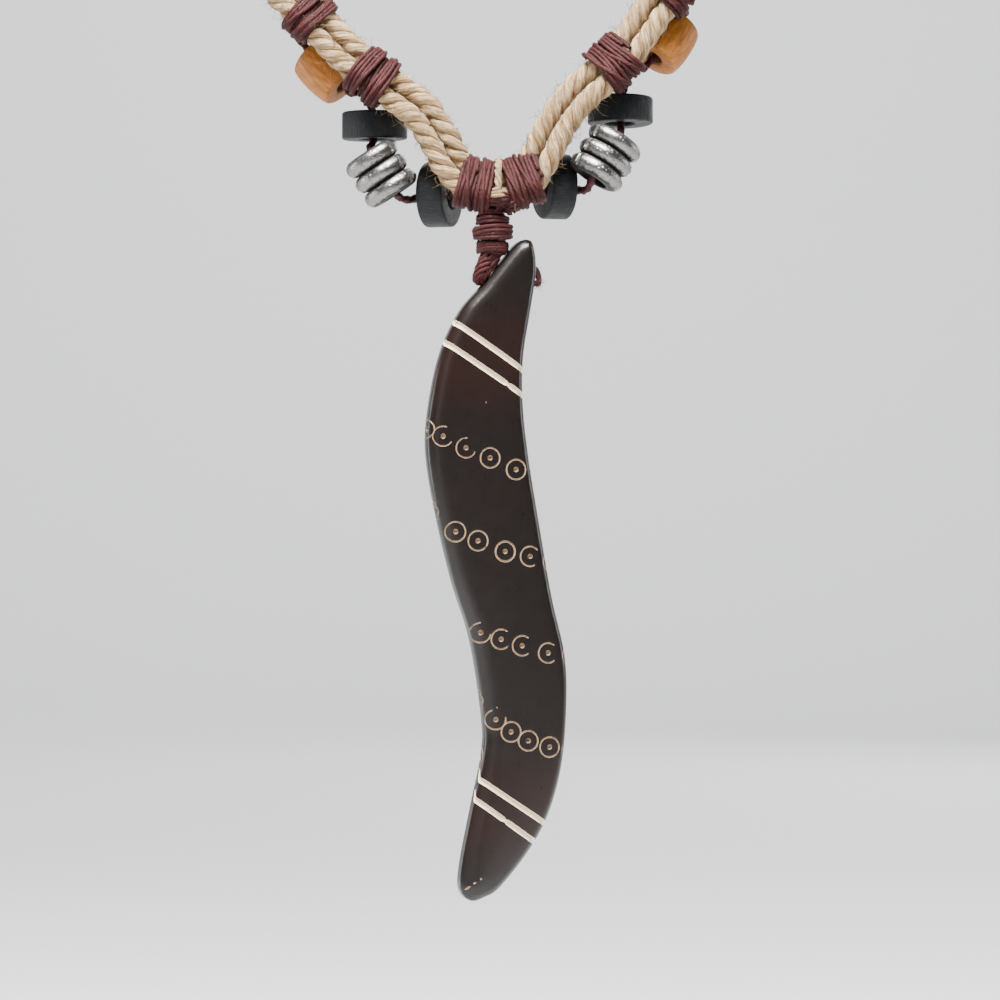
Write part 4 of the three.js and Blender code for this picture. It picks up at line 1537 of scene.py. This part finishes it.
    def _rings(self) -> bpy.types.Object:
        """Three fat rings side by side on one tube, with a cast seam along them."""
        crest, pitch, bore = self.ring[0] / 2, self.ring[1], self.ring[2] / 2
        waist = self.ring_waist / 2
        section = [(bore, -1.5 * pitch)]
        for ring in range(3):
            for angle in np.linspace(0.1, math.pi - 0.1, self.ring_points):
                lift = math.sin(angle)
                height = (ring - 1) * pitch - 0.5 * pitch * math.cos(angle)
                section.append((waist + (crest - waist) * lift, height))
        section.append((bore, 1.5 * pitch))
        bead = self._turned("rings_model", section, 0.0, self.silver)
        Hand.clear()
        bpy.ops.mesh.primitive_cylinder_add(
            vertices=20, radius=self.notch_radius, depth=4 * pitch, location=(crest + 0.02 * MM, 0, 0)
        )
        notch = bpy.context.object
        notch.data.materials.append(self.silver)
        Hand.cut(bead, [notch])
        points = Hand.coords(bead)
        radius = np.hypot(points[:, 0], points[:, 1])
        angle = np.arctan2(points[:, 1], points[:, 0])
        dent = 1 + 0.012 * np.sin(2 * angle + 40 * points[:, 2] / crest) + 0.006 * np.sin(5 * angle + 1)
        Hand.set_coords(bead, points * np.stack([dent, dent, np.ones(len(dent))], axis=1))
        self._mark(bead, (crest - 0.16 * MM - radius) / (0.6 * MM), radius * 0)
        Hand.shade(bead, 50)
        return bead


@dataclass(frozen=True)
class Mark:
    """One ring-and-dot: across and up from the hole, and where its ring fades out."""

    across: float
    up: float
    open_to: float | None = None
    width: float = 1.0


@dataclass
class Pendant:
    """The polished bone pendant: a domed, bevelled S with filed stripes and engraved rings."""

    bone: bpy.types.Material
    stripe_bone: bpy.types.Material
    ring_bone: bpy.types.Material
    hole_radius: float = 1.0 * MM
    balance: float = 0.12 * MM
    ring_radius: float = 1.2 * MM
    line_radius: float = 0.10 * MM
    dot_radius: float = 0.34 * MM
    stripe_radius: float = 0.37 * MM
    stripe_depth: float = 0.24 * MM
    pinch_lift: float = 0.17 * MM
    grid: float = 0.55 * MM
    inset_rows: tuple[float, ...] = (0.06, 0.18, 0.36, 0.6, 0.85)
    first_inset: float = 0.004 * MM

    # How far the face stands from the middle, by the distance in from the outline, in millimetres.
    profile: tuple[tuple[float, ...], tuple[float, ...]] = (
        (0.0, 0.06, 0.18, 0.38, 0.63, 0.85, 1.05, 1.3, 1.8, 2.6, 3.6, 5.0, 7.0),
        (0.86, 0.99, 1.14, 1.34, 1.54, 1.69, 1.775, 1.83, 1.885, 1.93, 1.965, 1.99, 2.0),
    )
    # The outline about the hole's middle, from the tip clockwise: across and up, in millimetres.
    outline: tuple[tuple[float, float], ...] = (
        (3.55, 5.25), (4.35, 4.55), (4.65, 1.5), (3.9, -3.6), (3.05, -9), (3, -14.5), (3.7, -21),
        (5.1, -29.5), (6.6, -38), (8.2, -45), (8.45, -51), (7.9, -58), (6.4, -63.8), (4, -68.4),
        (0.3, -73), (-1.7, -74.3), (-3.5, -74.7), (-4.7, -73.3), (-4.5, -70), (-3.2, -63.5),
        (-1.85, -57), (-1.85, -52.5), (-3.3, -43.3), (-5.6, -36), (-7.7, -27.2), (-8.75, -20.5),
        (-8.5, -15.5), (-7.1, -8.8), (-4.7, -3.6), (-1.9, -0.3), (0.9, 3.2), (2.4, 4.85),
    )
    # Filed stripes: left end, right end, how far each climbs the left side, and where it is pinched.
    stripes: tuple[tuple, ...] = (
        ((-6.3, -4.35), (4.0, -11.35), 0.5, None),
        ((-7.2, -7.0), (3.9, -14.3), 0.5, 0.27),
        ((-2.6, -60.0), (7.0, -66.4), 3.4, None),
        ((-3.3, -62.3), (5.9, -68.8), 3.0, 0.58),
    )
    marks: tuple[Mark, ...] = (
        Mark(-9.3, -17.7), Mark(-7.09, -18.6, 0.3, 0.9), Mark(-4.3, -20.0, 0.5, 0.85), Mark(-1.32, -21.2),
        Mark(1.92, -22.6),
        Mark(-8.7, -27.8), Mark(-5.55, -30.1), Mark(-2.81, -31.2), Mark(0.55, -32.5, None, 1.2),
        Mark(3.66, -33.1, -0.2), Mark(6.6, -33.8),
        Mark(-2.44, -42.3, 0.7), Mark(0.05, -43.1, 0.0), Mark(2.66, -43.9, 0.0), Mark(5.9, -44.8, 0.0),
        Mark(9.0, -45.2),
        Mark(-0.57, -52.8, 1.1), Mark(1.29, -54.3), Mark(3.41, -55.4), Mark(6.08, -56.2), Mark(8.9, -56.7),
        Mark(-3.2, -50.6), Mark(-3.4, -57.4),
    )
    # Small scratches: across, up, length and direction.
    nicks: tuple[tuple[float, float, float, float], ...] = (
        (-0.45, -51.35, 0.2, 0.9), (-4.0, -73.1, 0.9, 0.55), (-3.2, -72.5, 0.5, 0.5),
        (-2.4, -72.0, 0.35, 0.4), (-1.8, -14.5, 0.14, 0.0),
    )
    nick_girth: tuple[float, ...] = (0.02, 0.1, 0.15, 0.16, 0.13, 0.1, 0.02)
    # A dot's round-nosed punch: heights above and below the face, and girths, as shares of its radius.
    peg_heights: tuple[float, ...] = (1.0, 0.2, -0.35, -0.7, -0.9, -1.0)
    peg_girths: tuple[float, ...] = (1.0, 1.0, 0.92, 0.66, 0.36, 0.04)

    def __post_init__(self) -> None:
        """Works out the smooth outline in metres."""
        self.edge = smooth_through(np.array(self.outline) * MM, 8, closed=True)

    def build(self) -> None:
        """Shapes the blank, drills it, cuts its marks and hangs it in its place."""
        blank = self._blank()
        Hand.cut(blank, [self._bore()])
        for group in (0, 1):
            Hand.cut(blank, [self._ring_tools(group)])
        Hand.cut(blank, [self._stripe_tools()])
        self._hang(blank)
        Hand.shade(blank, 32)
        Rig.fit(blank, "pendant", "dark_bone", "boomerang_pendant")

    def _distance(self, points: np.ndarray) -> tuple[np.ndarray, np.ndarray]:
        """How far points lie in from the outline, and the outline's nearest points.

        Args:
            points: across and up, a row each.

        Returns:
            The distances, below 0 outside, and the nearest points.
        """
        start = self.edge[None]
        side = np.roll(self.edge, -1, axis=0)[None] - start
        away = points[:, None] - start
        share = np.clip((away * side).sum(-1) / (side**2).sum(-1), 0, 1)
        near = start + share[..., None] * side
        gap = np.linalg.norm(points[:, None] - near, axis=-1)
        best = gap.argmin(axis=1)
        rows = np.arange(len(points))
        over = (start[..., 1] > points[:, None, 1]) != ((start + side)[..., 1] > points[:, None, 1])
        lift = np.where(side[..., 1] == 0, 1e-12, side[..., 1])
        crossing = start[..., 0] + (points[:, None, 1] - start[..., 1]) * side[..., 0] / lift
        inside = (over & (points[:, None, 0] < crossing)).sum(axis=1) % 2 == 1
        return np.where(inside, 1, -1) * gap[rows, best], near[rows, best]

    def _face(self, points: np.ndarray, distance: np.ndarray, near: np.ndarray) -> np.ndarray:
        """How far the front face stands from the middle, with its bevel narrower right and wider low left.

        Args:
            points: across and up, a row each.
            distance: how far each lies in from the outline.
            near: the outline's nearest point to each.

        Returns:
            The heights.
        """
        inner = np.maximum(distance, 0)
        lean = np.clip((near[:, 0] - points[:, 0]) / np.maximum(inner, 1e-9), -1, 1)
        right = np.maximum(lean, 0) * np.exp(-((inner / (1.2 * MM)) ** 2))
        low = np.clip((-56 * MM - points[:, 1]) / (7 * MM), 0, 1)
        low = low * np.clip((points[:, 1] + 75 * MM) / (3 * MM), 0, 1)
        left = np.maximum(-lean, 0) * low * np.exp(-((inner / (2.2 * MM)) ** 2))
        return np.interp(inner * (1 + 0.8 * right - 0.4 * left) / MM, *self.profile) * MM

    def _on_face(self, flat: np.ndarray) -> np.ndarray:
        """Lays a flat line on the front face, and down the side where it runs past the outline."""
        distance, near = self._distance(flat)
        past = distance < 0
        place = np.where(past[:, None], near, flat)
        height = self._face(flat, distance, near) + np.where(past, 1.1 * distance, 0.0)
        return np.column_stack([place, height])

    def _blank(self) -> bpy.types.Object:
        """A slab cut to the outline, its face inset, cut into a grid and domed, and mirrored to the back."""
        Hand.clear()
        bpy.ops.mesh.primitive_circle_add(vertices=len(self.edge), radius=MM, fill_type="NGON")
        blank = Hand.name("bone_pendant")
        Hand.set_coords(blank, np.column_stack([self.edge, np.zeros(len(self.edge))]))
        bpy.ops.object.mode_set(mode="EDIT")
        bpy.ops.mesh.select_all(action="SELECT")
        bpy.ops.mesh.extrude_region_move(TRANSFORM_OT_translate={"value": (0, 0, self.profile[1][0] * MM)})
        for _ in self.inset_rows:
            bpy.ops.mesh.inset(thickness=self.first_inset, depth=0, use_even_offset=True)
        bpy.ops.object.mode_set(mode="OBJECT")
        self._spread_rows(blank)
        bpy.ops.object.mode_set(mode="EDIT")
        bpy.ops.mesh.select_all(action="SELECT")
        low, high = self.edge.min(axis=0), self.edge.max(axis=0)
        for axis, normal in ((1, (0, 1, 0)), (0, (1, 0, 0))):
            for place in np.arange(low[axis] + self.grid / 2, high[axis], self.grid):
                point = [0.0, 0.0, 0.0]
                point[axis] = float(place)
                bpy.ops.mesh.bisect(plane_co=point, plane_no=normal, threshold=1e-7)
                bpy.ops.mesh.select_all(action="SELECT")
        bpy.ops.object.mode_set(mode="OBJECT")
        points = Hand.coords(blank)
        upper = points[:, 2] > 0.1 * MM
        distance, near = self._distance(points[upper, :2])
        points[upper, 2] = self._face(points[upper, :2], distance, near)
        Hand.set_coords(blank, points)
        flat = points[:, 2] < 0.05 * MM
        back = [face.index for face in blank.data.polygons if flat[list(face.vertices)].all()]
        Hand.select_faces(blank, back)
        bpy.ops.object.mode_set(mode="EDIT")
        bpy.ops.mesh.delete(type="FACE")
        bpy.ops.object.mode_set(mode="OBJECT")
        Hand.apply_modifier(blank, "MIRROR", use_axis=(False, False, True), merge_threshold=0.01 * MM)
        bpy.ops.object.mode_set(mode="EDIT")
        bpy.ops.mesh.select_all(action="SELECT")
        bpy.ops.mesh.remove_doubles(threshold=0.003 * MM)
        bpy.ops.mesh.normals_make_consistent(inside=False)
        bpy.ops.object.mode_set(mode="OBJECT")
        blank.data.materials.append(self.bone)
        return blank

    def _spread_rows(self, blank: bpy.types.Object) -> None:
        """Moves the inset rows in to their places, less far where the outline turns sharply."""
        ahead = np.roll(self.edge, -1, axis=0) - np.roll(self.edge, 1, axis=0)
        ahead /= np.linalg.norm(ahead, axis=1, keepdims=True)
        inward = np.column_stack([ahead[:, 1], -ahead[:, 0]])
        room = np.full(len(self.edge), 0.1 * MM)
        for depth in np.linspace(0.1, 0.95, 18) * MM:
            clear = self._distance(self.edge + inward * depth)[0] > 0.97 * depth
            room = np.where(clear & (room > depth - 0.06 * MM), depth, room)
        tight = np.min([np.roll(room, shift) for shift in range(-6, 7)], axis=0)
        tight = np.mean([np.roll(tight, shift) for shift in range(-5, 6)], axis=0) * 0.85
        points = Hand.coords(blank)
        for index, point in enumerate(points):
            if point[2] < 0.1 * MM:
                continue
            gaps = np.linalg.norm(self.edge - point[:2], axis=1)
            corner = int(gaps.argmin())
            row = round(float(gaps[corner]) / self.first_inset)
            if row:
                share = self.inset_rows[min(row, len(self.inset_rows)) - 1] * MM
                depth = min(share, share * tight[corner] / (self.inset_rows[-1] * MM))
                points[index, :2] = self.edge[corner] + inward[corner] * depth
        Hand.set_coords(blank, points)

    def _bore(self) -> bpy.types.Object:
        """The drill that makes the crosswise hole."""
        Hand.clear()
        bpy.ops.mesh.primitive_cylinder_add(
            vertices=48, radius=self.hole_radius, depth=30 * MM, rotation=(0, math.pi / 2, 0)
        )
        bpy.ops.object.transform_apply(location=True, rotation=True, scale=True)
        drill = Hand.name("drill")
        drill.data.materials.append(self.bone)
        return drill

    def _ring_tools(self, group: int) -> bpy.types.Object:
        """The cutters of every other ring-and-dot, with the nicks in the first group.

        Args:
            group: 0 or 1.

        Returns:
            The cutters as one object.
        """
        tools = StrandMesh()
        turn = np.linspace(0, math.tau * 0.995, 56)
        for mark in self.marks[group::2]:
            centre = np.array([mark.across, mark.up]) * MM
            flat = centre + self.ring_radius * np.stack([np.cos(turn + 1.2), np.sin(turn + 1.2)], axis=1)
            path = self._on_face(flat)
            if mark.open_to is not None:
                facing = np.cos(turn + 1.2 - mark.open_to)
                path[:, 2] += 0.16 * MM * np.clip((facing - 0.45) / 0.35, 0, 1)
            tools.add(path, np.full((len(turn), 8), self.line_radius * mark.width))
            tools.add(*self._peg(centre, self.dot_radius))
        if group == 0:
            for across, up, length, angle in self.nicks:
                way = np.array([math.cos(angle), math.sin(angle)]) * length * MM / 2
                middle = np.array([across, up]) * MM
                path = self._on_face(middle + np.linspace(-1, 1, 7)[:, None] * way)
                path[:, 2] += 0.05 * MM
                girth = np.array(self.nick_girth)[:, None] * MM
                tools.add(path, np.repeat(girth, 8, axis=1))
        return tools.build("ring_tools", self.ring_bone)

    def _peg(self, centre: np.ndarray, radius: float) -> tuple[np.ndarray, np.ndarray]:
        """A round-nosed punch that goes into the face at a place."""
        top = self._on_face(centre[None])[0]
        path = top + np.array(self.peg_heights)[:, None] * np.array([0, 0, 1.0]) * radius
        return path, np.repeat(radius * np.array(self.peg_girths)[:, None], 10, axis=1)

    def _stripe_tools(self) -> bpy.types.Object:
        """The round files that cut the stripes across the face and round its left side."""
        tools = StrandMesh()
        for left, right, climb, pinch in self.stripes:
            share = np.linspace(-0.06, 1.0, 60)
            flat = (np.array(right) + share[:, None] * (np.array(left) - np.array(right))) * MM
            path = self._on_face(flat)
            path[:, 2] += self.stripe_radius - self.stripe_depth
            if pinch is not None:
                path[:, 2] += self.pinch_lift * np.exp(-(((share - pinch) / 0.03) ** 2))
            path = path[(self._distance(flat)[0] > -0.25 * MM) | (share < 0.5)]
            down = np.linspace(0.1, 1.0, 12)[:, None]
            tail = path[-1] + down * np.array([-0.25, climb, -2.1]) * MM
            tools.add(np.vstack([path, tail]), np.full((len(path) + 12, 12), self.stripe_radius))
        return tools.build("stripe_tools", self.stripe_bone)

    def _hang(self, pendant: bpy.types.Object) -> None:
        """Stands the pendant up, turns it and moves it to its joint."""
        joint = Rig.joint("pendant")
        turn = math.atan2(joint["axis"][1], joint["axis"][0])
        place = Matrix.Translation(joint["pos_m"]) @ Matrix.Rotation(turn, 4, "Z")
        stand = Matrix.Rotation(math.pi / 2, 4, "X") @ Matrix.Translation((-self.balance, 0, 0))
        pendant.data.transform(place @ stand)


# ---------------------------------------------------------------- studio


AIM = (0.0, 0.0, -0.2138)  # what the camera and most lights face


@dataclass(frozen=True)
class Lamp:
    """One soft light: where it is, what it faces, how wide and how strong it is."""

    name: str
    place: Triple
    width: float
    watts: float
    colour: Colour = (1.0, 1.0, 1.0)
    target: Triple = AIM


@dataclass
class Studio:
    """Camera, soft lights, and a pale paper floor that curves up into a wall well behind the necklace."""

    finish: bpy.types.Material
    camera_distance: float = 0.505
    lens: float = 150.0
    floor: float = -0.300
    sweep_size: float = 8.0
    wall_distance: float = 2.2
    wall_height: float = 2.6
    sweep_radius: float = 1.2
    sweep_segments: int = 32
    room_colour: Colour = (0.62, 0.63, 0.65)
    room_strength: float = 0.2
    lamps: tuple[Lamp, ...] = (
        Lamp("top_softbox", (-0.02, -0.17, 0.17), 0.22, 14.0, (1.0, 0.99, 0.97)),
        Lamp("front_fill", (-0.35, -0.75, -0.05), 0.6, 1.0),
        Lamp("left_edge", (-0.42, 0.06, -0.20), 0.25, 1.6),
        Lamp("right_edge", (0.42, 0.12, -0.14), 0.2, 0.7),
        Lamp("back_fill", (0.30, 0.80, 0.10), 0.5, 3.0),
        Lamp("wall_wash", (0.0, 0.9, 1.1), 0.8, 40.0, target=(0.0, 2.2, 0.2)),
    )

    def place_camera(self) -> None:
        """Puts the camera level, straight in front."""
        place = (AIM[0], AIM[1] - self.camera_distance, AIM[2])
        bpy.ops.object.camera_add(location=place, rotation=(math.pi / 2, 0, 0))
        camera = bpy.context.object
        camera.name = "camera"
        camera.data.lens = self.lens
        camera.data.sensor_width = 36.0
        camera.data.clip_start = 0.01
        bpy.context.scene.camera = camera

    def build(self) -> None:
        """Makes the sweep and the room, and hangs the lights."""
        self._sweep()
        self._hang_lamps()
        world = bpy.data.worlds.new("soft_room")
        world.use_nodes = True
        background = world.node_tree.nodes["Background"]
        background.inputs["Color"].default_value = (*self.room_colour, 1.0)
        background.inputs["Strength"].default_value = self.room_strength
        bpy.context.scene.world = world

    def _sweep(self) -> None:
        """The floor, its far side drawn up into the wall with a wide curve between them."""
        Hand.clear()
        bpy.ops.mesh.primitive_plane_add(size=self.sweep_size, location=(0, 0, self.floor))
        bpy.ops.object.transform_apply(location=True, rotation=True, scale=True)
        sweep = Hand.name("paper_sweep")
        points = Hand.coords(sweep)
        points[points[:, 1] > 0, 1] = self.wall_distance
        Hand.set_coords(sweep, points)
        Hand.select_edges(sweep, lambda ends: ends[:, 1].min() > 0)
        bpy.ops.object.mode_set(mode="EDIT")
        bpy.ops.mesh.extrude_region_move(TRANSFORM_OT_translate={"value": (0, 0, self.wall_height)})
        bpy.ops.object.mode_set(mode="OBJECT")
        corner = self.floor + 0.01
        Hand.select_edges(sweep, lambda ends: ends[:, 1].min() > 0 and ends[:, 2].max() < corner)
        bpy.ops.object.mode_set(mode="EDIT")
        bpy.ops.mesh.bevel(offset=self.sweep_radius, segments=self.sweep_segments)
        bpy.ops.object.mode_set(mode="OBJECT")
        sweep.data.shade_smooth()
        sweep.data.materials.append(self.finish)

    def _hang_lamps(self) -> None:
        """The soft lights, each turned to what it faces."""
        for lamp in self.lamps:
            facing = Vector(lamp.target) - Vector(lamp.place)
            turn = facing.to_track_quat("-Z", "Y").to_euler()
            bpy.ops.object.light_add(type="AREA", location=lamp.place, rotation=turn)
            light = bpy.context.object
            light.name = lamp.name
            light.data.size = lamp.width
            light.data.energy = lamp.watts
            light.data.color = lamp.colour


def main() -> None:
    """Builds every sub-assembly in order, then the studio."""
    logging.basicConfig(level=logging.INFO, format="%(name)s: %(message)s")
    studio = Studio(StageFinish().make())
    studio.place_camera()
    hemp = HempFinish().make()
    thread = ThreadFinish().make()
    waxed = ThreadFinish(
        "waxed_cord", deep=(0.012, 0.0032, 0.0035), maroon=(0.032, 0.0078, 0.0085),
        bloom=(0.07, 0.024, 0.025), roughness=0.4,
    ).make()
    ropes = RopePair(hemp)
    ropes.build()
    Closing(waxed).build()
    RopeBindings(ropes, thread).build()
    BeadStrings(thread).build()
    Bail(thread, hemp, ropes).build()
    Beads(WoodFinish().make(), CocoFinish().make(), SilverFinish().make()).build()
    stripe = CutBoneFinish("filed_bone", (0.56, 0.46, 0.32), (0.24, 0.13, 0.06), 0.3).make()
    ring = CutBoneFinish("engraved_bone", (0.24, 0.16, 0.095), (0.08, 0.04, 0.02), 0.6).make()
    Pendant(BoneFinish().make(), stripe, ring).build()
    studio.build()


if __name__ == "__main__":
    main()
